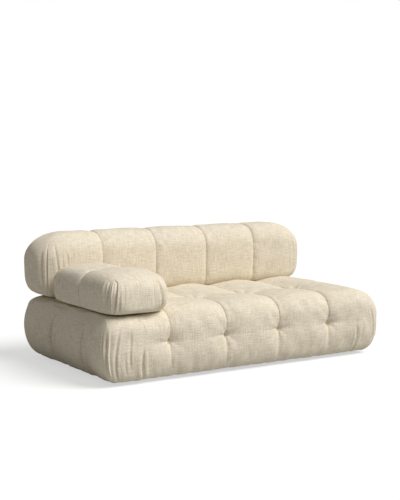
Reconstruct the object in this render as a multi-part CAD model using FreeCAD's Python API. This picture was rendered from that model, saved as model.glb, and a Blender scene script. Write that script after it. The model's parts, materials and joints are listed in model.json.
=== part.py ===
"""One-arm sectional sofa module: a tufted seat block with a channelled back bolster and a low arm bolster.

Millimetres, +X along the sofa to the right, +Y to the rear, +Z up.
The origin is on the floor under the middle of the sofa's box.
The bolsters plug onto steel tongues that stand up out of the seat block, and lift straight off them.
"""
import FreeCAD, Part
import math
import os

V = FreeCAD.Vector

# Overall form
LENGTH = 1750.0
DEPTH = 1000.0
REST_HEIGHT = 352.0
SEAT_PUFF = 23.0
BACK_HEIGHT = 340.0
BACK_THICKNESS = 286.0
ARM_HEIGHT = 203.0
ARM_SINK = 12.0
BACK_SINK = 8.0
ARM_NARROWING = 22.0
ARM_END_INSET = 40.0
COVER_LIFT = 19.0

# Bays, channels and tufts
BAY_COUNT = 5
END_BAY_LENGTH = 374.0
TOP_ROW_SETBACK = 325.0
END_ROW_SHARES = (0.225, 0.575)
CHANNEL_DEPTH = 15.0
END_CHANNEL_DEPTH = 20.0
ROW_DIP = 16.0
TUFT_DEPTH = 30.0
COVERED_ROW_DIP = 8.0
FRONT_TUFT_DROP = 152.0
FRONT_TUFT_DEPTH = 20.0
FRONT_CREASE_DEPTH = 0.5
BOTTOM_DRAW = 34.0
END_BOTTOM_DRAW = 64.0
SHOULDER_RADIUS = 90.0
SHOULDER_LIMIT = 0.6
REAR_CREST_GAP = 60.0
CREST_CHANNEL_LIFT = 4.0
REAR_BUMP_LAP = 30.0
REAR_SHOULDER_RADIUS = 70.0
END_ROUND_LENGTH = 110.0
END_ROUND_DRAW = 76.0
OPEN_END_FALL_LENGTH = 225.0
OPEN_END_FALL = 124.0
ARM_END_FALL_LENGTH = 130.0
ARM_END_FALL = 90.0
CORNER_ROUND = 85.0
TRIM_MARGIN = 8.0

# How a bay swells from its channels, by share of the way across, and how an end closes
BAY_SHARES = (0.0, 0.16, 0.5, 0.84, 1.0)
BAY_FULLNESS = (0.0, 0.62, 1.0, 0.62, 0.0)
END_SHARES = (0.0, 0.16, 0.48)
END_FULLNESS = (0.0, 0.62, 0.98)
END_STEPS = (1.0, 0.5, 0.18, 0.0)
LOFT_DEGREE = 3

# Bolster sections
BOLSTER_RADIUS_LIMIT = 0.8
BACK_SIDE_BULGE = 10.0
BACK_CROWN = 16.0
BACK_TOP_RADIUS = 105.0
BACK_BOTTOM_RADIUS = 52.0
BACK_CHANNEL_DEPTH = 10.0
BACK_END_ROUND = 120.0
BACK_END_DRAW = 86.0
BACK_END_FALL_LENGTH = 210.0
BACK_END_FALL = 120.0
BACK_END_LIFT = 104.0
ARM_SIDE_BULGE = 8.0
ARM_CROWN = 28.0
ARM_TOP_RADIUS = 88.0
ARM_BOTTOM_RADIUS = 62.0
ARM_CHANNEL_DEPTH = 14.0
ARM_FRONT_ROUND = 130.0
ARM_FRONT_DRAW = 78.0
ARM_FRONT_LIFT = 44.0
ARM_REAR_ROUND = 110.0
ARM_REAR_DRAW = 70.0
ARM_REAR_LIFT = 44.0

# Cover, foam and clearances
SEAT_CORE_INSET = 75.0
SEAT_CORE_DROP = 40.0
SEAT_CORE_RADIUS = 40.0
SEAT_CORE_WALL = 25.0
HEM_THICKNESS = 8.0
CORE_CLEARANCE = 0.3
REST_CLEARANCE = 0.3
REST_SKIM = 0.2
BOLSTER_GAP = 4.0
SLOT_CLEARANCE = 3.0

# Timber frame of the seat block
RAIL_THICKNESS = 28.0
DECK_THICKNESS = 15.0
CROSS_RAIL_SHARE = 0.75
CORNER_BLOCK_LEG = 90.0
CORNER_BLOCK_HEIGHT = 60.0
VENT_RADIUS = 30.0
DUST_COVER_THICKNESS = 1.0
DUST_COVER_LAP = 18.0

# Feet
FOOT_RADIUS = 25.0
FOOT_TOP_RADIUS = 29.0
FOOT_INSET = 32.0
FOOT_SCREW_RADIUS = 2.5
FOOT_SCREW_HEAD_RADIUS = 5.0
FOOT_SCREW_HEAD_HEIGHT = 3.0
FOOT_SCREW_GRIP = 30.0
FOOT_RECESS_RADIUS = 7.0
FOOT_RECESS_DEPTH = 8.0
SCREW_CLEARANCE = 0.1

# Tuft ties
TIE_RADIUS = 1.5
TIE_BUTTON_RADIUS = 7.0
TIE_BUTTON_HEIGHT = 5.0
TIE_BUTTON_TAPER = 2.0
TIE_SEAT_DEPTH = 1.0
TIE_SEAT_CLEARANCE = 0.5
TIE_SEAT_REACH = 44.0
TIE_HOLE_RADIUS = 3.0
TIE_KNOT_RADIUS = 4.0
TIE_KNOT_HEIGHT = 5.0
ANCHOR_RADIUS = 12.0
ANCHOR_THICKNESS = 2.0
ANCHOR_MARGIN = 1.0

# Plug-in brackets: a tongue on the seat frame, a receiver in the bolster
TONGUE_WIDTH = 40.0
TONGUE_THICKNESS = 5.0
TONGUE_TIP_CHAMFER = 8.0
TONGUE_FOOT = 100.0
BACK_TONGUE_RISE = 130.0
ARM_TONGUE_RISE = 88.0
BACK_TONGUE_SHARE = 0.24
ARM_TONGUE_FRONT_SETBACK = 190.0
ARM_TONGUE_REAR_SETBACK = 170.0
RECEIVER_WALL = 2.5
RECEIVER_CLEARANCE = 0.5
RECEIVER_HEADROOM = 12.0
RECEIVER_FLANGE = 20.0
LAG_RADIUS = 4.0
LAG_HEAD_RADIUS = 7.5
LAG_HEAD_HEIGHT = 4.0
LAG_TIP_COVER = 6.0
LAG_SPACING = 50.0
LAG_EDGE = 22.0
SCREW_RADIUS = 2.0
SCREW_HEAD_RADIUS = 4.0
SCREW_HEAD_HEIGHT = 2.0
SCREW_GRIP = 12.0
SCREW_EDGE = 14.0

# Core and ladder frame of the back bolster
BACK_CORE_END_INSET = 110.0
BACK_CORE_SIDE_INSET = 48.0
BACK_CORE_GAP = 12.0
BACK_CORE_TOP_GAP = 45.0
BACK_CORE_RADIUS = 40.0
LADDER_THICKNESS = 20.0
LADDER_END_GAP = 45.0
LADDER_BOTTOM_GAP = 26.0
LADDER_TOP_GAP = 80.0
LADDER_RAIL_HEIGHT = 55.0
STILE_WIDTH = 96.0

# Core and boards of the arm bolster
ARM_CORE_SIDE_INSET = 58.0
ARM_CORE_GAP = 12.0
ARM_CORE_TOP_GAP = 50.0
ARM_CORE_FRONT_MARGIN = 62.0
ARM_CORE_REAR_MARGIN = 62.0
ARM_CORE_RADIUS = 30.0
ARM_BOARD_THICKNESS = 18.0
ARM_BOARD_SIDE_GAP = 20.0
ARM_BOARD_GAP = 12.0
ARM_BOARD_END_GAP = 30.0
ARM_SPINE_TOP_GAP = 22.0

# Swing-out coupling bar under the open end
COUPLING_REACH = 330.0
COUPLING_BAR_WIDTH = 30.0
COUPLING_BAR_THICKNESS = 4.0
COUPLING_HOLE_RADIUS = 5.25
COUPLING_PIVOT_RADIUS = 5.0
COUPLING_PIVOT_CLEARANCE = 0.08
COUPLING_COLLAR_RADIUS = 9.0
COUPLING_HEAD_HEIGHT = 4.0
COUPLING_GRIP = 40.0
COUPLING_RUNNING_GAP = 0.3
COUPLING_DROP = 12.0
COUPLING_BLOCK_SIZE = 72.0
COUPLING_BLOCK_HEIGHT = 70.0
COUPLING_Y = -100.0

# Places worked out from the sizes above
HALF_LENGTH = LENGTH / 2
HALF_DEPTH = DEPTH / 2
SEAT_TOP = REST_HEIGHT + SEAT_PUFF
BACK_TOP = REST_HEIGHT + BACK_HEIGHT
ARM_REST_HEIGHT = REST_HEIGHT - ARM_SINK
BACK_REST_HEIGHT = REST_HEIGHT - BACK_SINK
ARM_TOP = ARM_REST_HEIGHT + ARM_HEIGHT
ARM_WIDTH = END_BAY_LENGTH - ARM_NARROWING
BAY_PITCH = (LENGTH - 2 * END_BAY_LENGTH) / (BAY_COUNT - 2)
CHANNEL_X = [(i - BAY_COUNT / 2) * BAY_PITCH for i in range(1, BAY_COUNT)]
BAY_X = [(i - (BAY_COUNT - 1) / 2) * BAY_PITCH for i in range(BAY_COUNT)]
BULGE_HEIGHT = (COVER_LIFT + REST_HEIGHT) / 2
BACK_CENTRE_Y = HALF_DEPTH - BACK_THICKNESS / 2
BACK_FRONT_Y = HALF_DEPTH - BACK_THICKNESS
TOP_ROW_Y = -HALF_DEPTH + TOP_ROW_SETBACK
END_ROW_Y = [share * DEPTH - HALF_DEPTH for share in END_ROW_SHARES]
REAR_CREST_Y = BACK_FRONT_Y - REAR_CREST_GAP
BACK_BOTTOM = BACK_REST_HEIGHT + REST_CLEARANCE
ARM_BOTTOM = ARM_REST_HEIGHT + REST_CLEARANCE
ARM_CENTRE_X = -HALF_LENGTH + ARM_END_INSET + ARM_WIDTH / 2
ARM_FRONT_Y = -HALF_DEPTH
ARM_REAR_Y = BACK_FRONT_Y - BOLSTER_GAP
ARM_CHANNEL_Y = (ARM_FRONT_Y + ARM_REAR_Y) / 2
FRONT_TUFT_HEIGHT = REST_HEIGHT - FRONT_TUFT_DROP
SEAT_CORE_LENGTH = LENGTH - 2 * SEAT_CORE_INSET
SEAT_CORE_DEPTH = DEPTH - 2 * SEAT_CORE_INSET
SEAT_CORE_TOP = REST_HEIGHT - SEAT_CORE_DROP
RAIL_BOTTOM = COVER_LIFT + HEM_THICKNESS
RAIL_TOP = FRONT_TUFT_HEIGHT + ANCHOR_RADIUS + ANCHOR_MARGIN
DECK_TOP = RAIL_TOP + DECK_THICKNESS
CROSS_RAIL_X = CROSS_RAIL_SHARE * BAY_PITCH
RECEIVER_DEPTH = TONGUE_THICKNESS + 2 * RECEIVER_CLEARANCE + 2 * RECEIVER_WALL
LADDER_FRONT_Y = BACK_CENTRE_Y - LADDER_THICKNESS / 2
BACK_TONGUE_X = BACK_TONGUE_SHARE * LENGTH
BACK_TONGUE_Y = LADDER_FRONT_Y - RECEIVER_DEPTH / 2
FRAME_X = SEAT_CORE_LENGTH / 2 - SEAT_CORE_WALL
FRAME_INNER_X = FRAME_X - RAIL_THICKNESS
FRAME_FRONT_Y = -SEAT_CORE_DEPTH / 2 + SEAT_CORE_WALL
FRAME_INNER_FRONT_Y = FRAME_FRONT_Y + RAIL_THICKNESS
FRAME_INNER_REAR_Y = BACK_TONGUE_Y + TONGUE_THICKNESS / 2
FRAME_REAR_Y = FRAME_INNER_REAR_Y + RAIL_THICKNESS
ARM_TONGUE_X = -FRAME_INNER_X + TONGUE_THICKNESS / 2
ARM_TONGUE_FRONT_Y = ARM_FRONT_Y + ARM_TONGUE_FRONT_SETBACK
ARM_TONGUE_REAR_Y = ARM_REAR_Y - ARM_TONGUE_REAR_SETBACK
BACK_CORE_LENGTH = LENGTH - 2 * BACK_CORE_END_INSET
BACK_CORE_THICKNESS = BACK_THICKNESS - 2 * BACK_CORE_SIDE_INSET
LADDER_LENGTH = BACK_CORE_LENGTH - 2 * LADDER_END_GAP
LADDER_BOTTOM = BACK_BOTTOM + LADDER_BOTTOM_GAP
LADDER_TOP = BACK_TOP - LADDER_TOP_GAP
STILE_OUTER_X = (LADDER_LENGTH - STILE_WIDTH) / 2
ARM_SPINE_X = ARM_TONGUE_X + RECEIVER_DEPTH / 2
ARM_CORE_WIDTH = ARM_WIDTH - 2 * ARM_CORE_SIDE_INSET
ARM_CORE_TOP = ARM_TOP - ARM_CORE_TOP_GAP
ARM_CORE_FRONT_Y = ARM_FRONT_Y + ARM_CORE_FRONT_MARGIN
ARM_CORE_REAR_Y = ARM_REAR_Y - ARM_CORE_REAR_MARGIN
ARM_BOARD_WIDTH = ARM_CORE_WIDTH - 2 * ARM_BOARD_SIDE_GAP
ARM_BOARD_BOTTOM = ARM_BOTTOM + ARM_CORE_GAP + ARM_BOARD_GAP
ARM_BOARD_TOP = ARM_BOARD_BOTTOM + ARM_BOARD_THICKNESS
ARM_SPINE_TOP = ARM_CORE_TOP - ARM_SPINE_TOP_GAP
COUPLING_X = FRAME_INNER_X - COUPLING_BLOCK_SIZE / 2
COUPLING_BAR_TOP = RAIL_BOTTOM - COUPLING_DROP
STILES = {
    "back_stile_left": -STILE_OUTER_X,
    "back_stile_left_inner": -BACK_TONGUE_X,
    "back_stile_middle": 0.0,
    "back_stile_right_inner": BACK_TONGUE_X,
    "back_stile_right": STILE_OUTER_X,
}
TOP_TUFTS = [(x, TOP_ROW_Y) for x in CHANNEL_X]
TOP_TUFT_Z = REST_HEIGHT - TUFT_DEPTH
FRONT_TUFT_Y = -HALF_DEPTH + CHANNEL_DEPTH + FRONT_TUFT_DEPTH


# Small drawing helpers

def box(x0, x1, y0, y1, z0, z1):
    """A block between two corners."""
    return Part.makeBox(x1 - x0, y1 - y0, z1 - z0, V(x0, y0, z0))


def rod(radius, start, end):
    """A round bar from one point to another."""
    run = end - start
    return Part.makeCylinder(radius, run.Length, start, run)


def arc_about(centre, start, end):
    """The shorter arc about a centre, in a plane of two coordinates."""
    radius = math.dist(centre, start)
    mid = [(start[i] + end[i]) / 2 - centre[i] for i in (0, 1)]
    stretch = radius / math.hypot(*mid)
    return [start, (centre[0] + mid[0] * stretch, centre[1] + mid[1] * stretch), end]


def crown_circle(peak, foot):
    """Centre of the circle that peaks level at one point and passes through another."""
    drop = peak[1] - foot[1]
    radius = (drop ** 2 + (foot[0] - peak[0]) ** 2) / (2 * drop)
    return (peak[0], peak[1] - radius), radius


def side_circle(extreme, foot):
    """Centre of the circle that stands upright at one point and passes through another."""
    draw = foot[0] - extreme[0]
    radius = (draw ** 2 + (foot[1] - extreme[1]) ** 2) / (2 * draw)
    return (extreme[0] + radius, extreme[1]), abs(radius)


def circles_meet(c1, r1, c2, r2, side):
    """One of the two points where two circles cross, on the given side of the line between them."""
    span = math.dist(c1, c2)
    along = (r1 ** 2 - r2 ** 2 + span ** 2) / (2 * span)
    off = side * math.sqrt(r1 ** 2 - along ** 2)
    ux, uy = (c2[0] - c1[0]) / span, (c2[1] - c1[1]) / span
    return (c1[0] + along * ux - off * uy, c1[1] + along * uy + off * ux)


def touch(centre, radius, inner_centre):
    """Where a circle meets a smaller one that touches it from inside."""
    span = math.dist(centre, inner_centre)
    return tuple(centre[i] + (inner_centre[i] - centre[i]) * radius / span for i in (0, 1))


def wire(edges, place):
    """A closed wire from straight runs (two points) and arcs (three points), put in space by a function."""
    made = []
    for points in edges:
        spots = [place(*p) for p in points]
        curve = Part.LineSegment(*spots) if len(spots) == 2 else Part.Arc(*spots)
        made.append(curve.toShape())
    return Part.Wire(made)


def joined_lofts(bays):
    """Lofts each bay through its own sections and joins the bays, which share a section at each channel."""
    lofts = [Part.makeLoft(sections, True, False, False, LOFT_DEGREE) for sections in bays]
    return lofts[0].multiFuse(lofts[1:]).Solids[0]


def round_off(distance, length, draw):
    """How far a rounded end has drawn in, at a distance past the start of the rounding."""
    share = min(max(distance / length, 0.0), 1.0)
    return draw * (1 - math.sqrt(1 - share ** 2))


def slope_stations(start, end, shares):
    """Places between two ends, by their share of the way."""
    return [start + (end - start) * s for s in shares]


def end_bay(channel, end, rounding):
    """Stations and fullness of a bay that runs from a channel to a rounded end."""
    side = math.copysign(1, end - channel)
    swell = slope_stations(channel, end - side * rounding, END_SHARES)
    closing = [(end - side * step * rounding, 1.0) for step in END_STEPS]
    return list(zip(swell, END_FULLNESS)) + closing


# Soft form of the seat block

def seat_section(x, fullness, end_draw, end_fall, puff):
    """Section across the seat block: tufted front, a row of top tufts, a swell and a flat strip for the back."""
    slack = (1 - fullness) * CHANNEL_DEPTH
    front = -HALF_DEPTH + slack + end_draw
    rear = HALF_DEPTH - slack - end_draw
    floor = COVER_LIFT
    rest = REST_HEIGHT - end_fall
    top = rest + puff * fullness
    valley_dip = ROW_DIP if puff else COVERED_ROW_DIP
    valley = fullness * (top - valley_dip) + (1 - fullness) * (rest - TUFT_DEPTH)
    tuft_in = fullness * FRONT_CREASE_DEPTH + (1 - fullness) * FRONT_TUFT_DEPTH

    front_foot = (front + BOTTOM_DRAW, floor)
    front_tuft = (front + tuft_in, FRONT_TUFT_HEIGHT)
    steepness = math.sqrt(BOTTOM_DRAW / tuft_in)
    bulge_z = floor + (FRONT_TUFT_HEIGHT - floor) * steepness / (1 + steepness)
    face_c, face_r = side_circle((front, (FRONT_TUFT_HEIGHT + SEAT_TOP) / 2 - end_fall / 2), front_tuft)
    row = (TOP_ROW_Y, valley)
    crown_c, crown_r = crown_circle(((front + TOP_ROW_Y) / 2, top), row)
    shoulder_r = min(SHOULDER_RADIUS, SHOULDER_LIMIT * face_r, SHOULDER_LIMIT * crown_r)
    shoulder = circles_meet(face_c, face_r - shoulder_r, crown_c, crown_r - shoulder_r, -1)
    shoulder_low = touch(face_c, face_r, shoulder)
    shoulder_high = touch(crown_c, crown_r, shoulder)

    strip = rest - BACK_SINK
    flat_front = (BACK_FRONT_Y + REAR_BUMP_LAP, strip)
    crest = (REAR_CREST_Y, rest + max(puff * fullness, CREST_CHANNEL_LIFT))
    rear_foot = (rear - BOTTOM_DRAW, floor)
    rear_c, rear_r = side_circle((rear, BULGE_HEIGHT), rear_foot)
    rear_k_z = strip - REAR_SHOULDER_RADIUS
    rear_reach = math.sqrt((rear_r - REAR_SHOULDER_RADIUS) ** 2 - (rear_k_z - rear_c[1]) ** 2)
    rear_k = (rear_c[0] + rear_reach, rear_k_z)
    rear_low = touch(rear_c, rear_r, rear_k)
    rear_high = (rear_k[0], strip)

    edges = [
        [front_foot, rear_foot],
        arc_about(rear_c, rear_foot, rear_low),
        arc_about(rear_k, rear_low, rear_high),
        [rear_high, flat_front],
        arc_about(crown_circle(crest, flat_front)[0], flat_front, crest),
        arc_about(crown_circle(crest, row)[0], crest, row),
        arc_about(crown_c, row, shoulder_high),
        arc_about(shoulder, shoulder_high, shoulder_low),
        arc_about(face_c, shoulder_low, front_tuft),
        [front_tuft, (front, bulge_z), front_foot],
    ]
    return wire(edges, lambda y, z: V(x, y, z))


def seat_lengthwise_form():
    """The seat block as five bays side by side, rounded down towards both ends."""
    bays = []
    for left, right in zip(CHANNEL_X, CHANNEL_X[1:]):
        stations = slope_stations(left, right, BAY_SHARES)
        bays.append([seat_section(x, u, 0, 0, SEAT_PUFF) for x, u in zip(stations, BAY_FULLNESS)])
    reach = HALF_LENGTH + TRIM_MARGIN
    ends = ((-1, 0, ARM_END_FALL_LENGTH, ARM_END_FALL), (1, SEAT_PUFF, OPEN_END_FALL_LENGTH, OPEN_END_FALL))
    for side, puff, fall_length, fall in ends:
        sections = []
        for x, fullness in end_bay(abs(CHANNEL_X[0]), reach, END_ROUND_LENGTH):
            draw = round_off(x - reach + END_ROUND_LENGTH, END_ROUND_LENGTH, END_ROUND_DRAW)
            drop = round_off(x - reach + fall_length, fall_length, fall)
            sections.append(seat_section(side * x, fullness, draw, drop, puff))
        bays.append(sections)
    return joined_lofts(bays)


def seat_end_section(y, half):
    """Section along the seat block that bulges at both ends and is clear of its top and bottom."""
    foot = (half - END_BOTTOM_DRAW, COVER_LIFT)
    centre, radius = side_circle((half, BULGE_HEIGHT), foot)
    levels = (0, SEAT_TOP + TRIM_MARGIN)
    low, high = [(centre[0] + math.sqrt(radius ** 2 - (z - BULGE_HEIGHT) ** 2), z) for z in levels]
    edges = []
    for side in (1, -1):
        c = (side * centre[0], centre[1])
        start, end = (low, high) if side > 0 else (high, low)
        edges.append(arc_about(c, (side * start[0], start[1]), (side * end[0], end[1])))
    ring = [edges[0], [edges[0][2], edges[1][0]], edges[1], [edges[1][2], edges[0][0]]]
    return wire(ring, lambda x, z: V(x, y, z))


def seat_crosswise_form():
    """Three rows front to back, which shape the two ends and the corners in plan."""
    outer = HALF_DEPTH + TRIM_MARGIN
    rows = [list(zip(slope_stations(*END_ROW_Y, BAY_SHARES), BAY_FULLNESS))]
    rows += [end_bay(END_ROW_Y[0], -outer, CORNER_ROUND), end_bay(END_ROW_Y[1], outer, CORNER_ROUND)]
    lofts = []
    for row in rows:
        sections = []
        for y, fullness in row:
            past = abs(y) - (outer - CORNER_ROUND)
            half = HALF_LENGTH - (1 - fullness) * END_CHANNEL_DEPTH
            half -= round_off(past, CORNER_ROUND, CORNER_ROUND)
            sections.append(seat_end_section(y, half))
        lofts.append(sections)
    return joined_lofts(lofts)


def seat_form():
    """The whole tufted block, pressed flat where the back and the arm rest on it."""
    block = seat_lengthwise_form().common(seat_crosswise_form()).Solids[0]
    flat_y = BACK_FRONT_Y + REAR_BUMP_LAP
    under_back = box(-LENGTH, LENGTH, flat_y, DEPTH, BACK_REST_HEIGHT - REST_SKIM, BACK_TOP)
    under_arm = box(-LENGTH, CHANNEL_X[0], -DEPTH, flat_y, ARM_REST_HEIGHT - REST_SKIM, BACK_TOP)
    return block.cut([under_back, under_arm])


# Soft forms of the bolsters

def bolster_section(half_width, bottom, top, bulge, crown, top_radius, bottom_radius):
    """Upright section of a bolster: flat below, bulged sides and a crowned top, run together by arcs."""
    middle = (bottom + top) / 2
    half_height = (top - bottom) / 2
    limit = BOLSTER_RADIUS_LIMIT * min(half_width, half_height)
    top_r = min(top_radius, limit)
    low_r = min(bottom_radius, limit)
    side_c, side_r = side_circle((half_width, middle), (half_width - bulge, bottom))
    crown_c, crown_r = crown_circle((0.0, top), (half_width, top - crown))
    top_k = circles_meet(side_c, side_r - top_r, crown_c, crown_r - top_r, 1)
    low_k_z = bottom + low_r
    low_k = (side_c[0] + math.sqrt((side_r - low_r) ** 2 - (low_k_z - middle) ** 2), low_k_z)
    low_flat = (low_k[0], bottom)
    low_side = touch(side_c, side_r, low_k)
    high_side = touch(side_c, side_r, top_k)
    high_top = touch(crown_c, crown_r, top_k)
    right = [
        arc_about(low_k, low_flat, low_side),
        arc_about(side_c, low_side, high_side),
        arc_about(top_k, high_side, high_top),
    ]
    left = [[(-u, z) for u, z in reversed(points)] for points in reversed(right)]
    crown_arc = [high_top, (0.0, top), (-high_top[0], high_top[1])]
    base_line = [(-low_flat[0], bottom), low_flat]
    return right + [crown_arc] + left + [base_line]


def resting(form, bottom):
    """A bolster pressed flat below, where it rests on the seat."""
    return form.cut(box(-LENGTH, LENGTH, -DEPTH, DEPTH, 0, bottom))


def back_section(x, fullness, draw, fall, lift):
    slack = (1 - fullness) * BACK_CHANNEL_DEPTH
    half = BACK_THICKNESS / 2 - slack - draw
    edges = bolster_section(half, BACK_BOTTOM + lift, BACK_TOP - slack - fall,
                            BACK_SIDE_BULGE, BACK_CROWN, BACK_TOP_RADIUS, BACK_BOTTOM_RADIUS)
    return wire(edges, lambda u, z: V(x, BACK_CENTRE_Y + u, z))


def back_form():
    """The back bolster as five bays side by side, with ends that round over and draw in."""
    bays = []
    for left, right in zip(CHANNEL_X, CHANNEL_X[1:]):
        stations = slope_stations(left, right, BAY_SHARES)
        bays.append([back_section(x, u, 0, 0, 0) for x, u in zip(stations, BAY_FULLNESS)])
    for side in (-1, 1):
        sections = []
        for x, fullness in end_bay(abs(CHANNEL_X[0]), HALF_LENGTH, BACK_END_ROUND):
            past = x - HALF_LENGTH
            draw = round_off(past + BACK_END_ROUND, BACK_END_ROUND, BACK_END_DRAW)
            lift = round_off(past + BACK_END_ROUND, BACK_END_ROUND, BACK_END_LIFT)
            fall = round_off(past + BACK_END_FALL_LENGTH, BACK_END_FALL_LENGTH, BACK_END_FALL)
            sections.append(back_section(side * x, fullness, draw, fall, lift))
        bays.append(sections)
    return resting(joined_lofts(bays), BACK_BOTTOM)


def arm_section(y, fullness, draw, lift):
    slack = (1 - fullness) * ARM_CHANNEL_DEPTH + draw
    edges = bolster_section(ARM_WIDTH / 2 - slack, ARM_BOTTOM + lift, ARM_TOP - slack,
                            ARM_SIDE_BULGE, ARM_CROWN, ARM_TOP_RADIUS, ARM_BOTTOM_RADIUS)
    return wire(edges, lambda u, z: V(ARM_CENTRE_X + u, y, z))


def arm_form():
    """The arm bolster as two bays, with a rounded nose and a flatter rear end against the back."""
    bays = []
    nose = (ARM_FRONT_Y, ARM_FRONT_ROUND, ARM_FRONT_DRAW, ARM_FRONT_LIFT)
    heel = (ARM_REAR_Y, ARM_REAR_ROUND, ARM_REAR_DRAW, ARM_REAR_LIFT)
    for end, length, depth, height in (nose, heel):
        sections = []
        for y, fullness in end_bay(ARM_CHANNEL_Y, end, length):
            past = length - abs(end - y)
            draw = round_off(past, length, depth)
            sections.append(arm_section(y, fullness, draw, round_off(past, length, height)))
        bays.append(sections)
    return resting(joined_lofts(bays), ARM_BOTTOM)


# Hidden hardware shared by the seat block and the bolsters

def eased_block(x0, x1, y0, y1, z0, z1, radius, flat_base=False):
    """A foam block with rounded edges, or with its lowest edges left square."""
    block = box(x0, x1, y0, y1, z0, z1)
    edges = [e for e in block.Edges if not (flat_base and e.BoundBox.ZMax == z0)]
    return block.makeFillet(radius, edges)


def tongue(rise, foot_top):
    """Flat steel tongue, drawn at the origin facing -Y, with lag holes in its foot and a chamfered tip."""
    half = TONGUE_WIDTH / 2
    bottom = foot_top - TONGUE_FOOT
    tip = rise - TONGUE_TIP_CHAMFER
    outline = [(-half, bottom), (half, bottom), (half, tip), (half - TONGUE_TIP_CHAMFER, rise),
               (TONGUE_TIP_CHAMFER - half, rise), (-half, tip), (-half, bottom)]
    face = Part.Face(Part.makePolygon([V(x, 0, z) for x, z in outline]))
    plate = face.extrude(V(0, TONGUE_THICKNESS, 0))
    for z in lag_heights(foot_top):
        plate = plate.cut(rod(LAG_RADIUS + SCREW_CLEARANCE, V(0, 0, z), V(0, TONGUE_THICKNESS, z)))
    plate.translate(V(0, -TONGUE_THICKNESS / 2, 0))
    return plate


def lag_heights(foot_top):
    high = foot_top - LAG_EDGE
    return (high, high - LAG_SPACING)


def lag_screw(z):
    """Lag screw at the origin along +Y, its head against the front of a tongue."""
    front = -TONGUE_THICKNESS / 2
    end = TONGUE_THICKNESS / 2 + RAIL_THICKNESS - LAG_TIP_COVER
    head = rod(LAG_HEAD_RADIUS, V(0, front - LAG_HEAD_HEIGHT, z), V(0, front, z))
    return head.fuse(rod(LAG_RADIUS, V(0, front - LAG_HEAD_HEIGHT, z), V(0, end, z)))


def lag_hole(z):
    start = TONGUE_THICKNESS / 2
    end = start + RAIL_THICKNESS - LAG_TIP_COVER + SCREW_CLEARANCE
    return rod(LAG_RADIUS + SCREW_CLEARANCE, V(0, start, z), V(0, end, z))


def receiver(bottom, rise):
    """Pressed steel sleeve for a tongue, drawn at the origin with its flanges on its +Y side."""
    top = rise + RECEIVER_HEADROOM
    half = TONGUE_WIDTH / 2 + RECEIVER_CLEARANCE
    wall = half + RECEIVER_WALL
    reach = RECEIVER_DEPTH / 2
    slot = TONGUE_THICKNESS / 2 + RECEIVER_CLEARANCE
    sleeve = box(-wall, wall, -reach, reach, bottom, top)
    flange = box(-wall - RECEIVER_FLANGE, wall + RECEIVER_FLANGE, reach - RECEIVER_WALL, reach, bottom, top)
    body = sleeve.fuse(flange).removeSplitter()
    body = body.cut(box(-half, half, -slot, slot, bottom, top - RECEIVER_WALL))
    for x, z in receiver_screws(bottom, rise):
        body = body.cut(rod(SCREW_RADIUS + SCREW_CLEARANCE, V(x, 0, z), V(x, reach, z)))
    return body


def receiver_screws(bottom, rise):
    """Across and up, the screws in the two flanges of a receiver."""
    x = TONGUE_WIDTH / 2 + RECEIVER_CLEARANCE + RECEIVER_WALL + RECEIVER_FLANGE / 2
    heights = (bottom + SCREW_EDGE, rise + RECEIVER_HEADROOM - SCREW_EDGE)
    return [(side * x, z) for side in (-1, 1) for z in heights]


def wood_screw(x, z):
    seat = RECEIVER_DEPTH / 2 - RECEIVER_WALL
    head = rod(SCREW_HEAD_RADIUS, V(x, seat - SCREW_HEAD_HEIGHT, z), V(x, seat, z))
    return head.fuse(rod(SCREW_RADIUS, V(x, seat - SCREW_HEAD_HEIGHT, z), V(x, seat + SCREW_GRIP, z)))


def wood_screw_hole(x, z):
    start = RECEIVER_DEPTH / 2
    end = start - RECEIVER_WALL + SCREW_GRIP + SCREW_CLEARANCE
    return rod(SCREW_RADIUS + SCREW_CLEARANCE, V(x, start, z), V(x, end, z))


def receiver_pocket(bottom, rise):
    """Room in the foam for a receiver and its screw heads."""
    half = TONGUE_WIDTH / 2 + RECEIVER_CLEARANCE + RECEIVER_WALL + RECEIVER_FLANGE
    top = rise + RECEIVER_HEADROOM
    return box(-half, half, -RECEIVER_DEPTH / 2, RECEIVER_DEPTH / 2, bottom, top)


def tongue_slot(bottom, top):
    half = TONGUE_WIDTH / 2 + SLOT_CLEARANCE
    deep = TONGUE_THICKNESS / 2 + SLOT_CLEARANCE
    return box(-half, half, -deep, deep, bottom, top)


def at_back(shape, x):
    """Puts hardware drawn at the origin at a place along the back."""
    placed = shape.copy()
    placed.translate(V(x, BACK_TONGUE_Y, 0))
    return placed


def at_arm(shape, y):
    """Puts hardware drawn at the origin at a place along the arm, turned to face the left end rail."""
    placed = shape.copy()
    placed.rotate(V(0, 0, 0), V(0, 0, 1), 90)
    placed.translate(V(ARM_TONGUE_X, y, 0))
    return placed


def facing_spine(shape):
    """Turns a receiver or its screws round, so that they sit on the board at the tongue's open side."""
    turned = shape.copy()
    turned.rotate(V(0, 0, 0), V(0, 0, 1), 180)
    return turned


def group(shapes):
    """Separate solids that share one node."""
    return Part.makeCompound(shapes)


# Seat block

def tuft_tie(start, inward, length):
    """Button, cord and knot of one tuft, from the bottom of its dimple inwards."""
    face_radius = TIE_BUTTON_RADIUS - TIE_BUTTON_TAPER
    button = Part.makeCone(TIE_BUTTON_RADIUS, face_radius, TIE_BUTTON_HEIGHT, start, -inward)
    cord = rod(TIE_RADIUS, start, start + inward * length)
    knot = rod(TIE_KNOT_RADIUS, start + inward * length, start + inward * (length + TIE_KNOT_HEIGHT))
    return button.fuse([cord, knot]).removeSplitter()


def tie_anchor(seat, inward):
    disc = rod(ANCHOR_RADIUS, seat, seat + inward * ANCHOR_THICKNESS)
    return disc.cut(rod(TIE_RADIUS + SCREW_CLEARANCE, seat, seat + inward * ANCHOR_THICKNESS))


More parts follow.
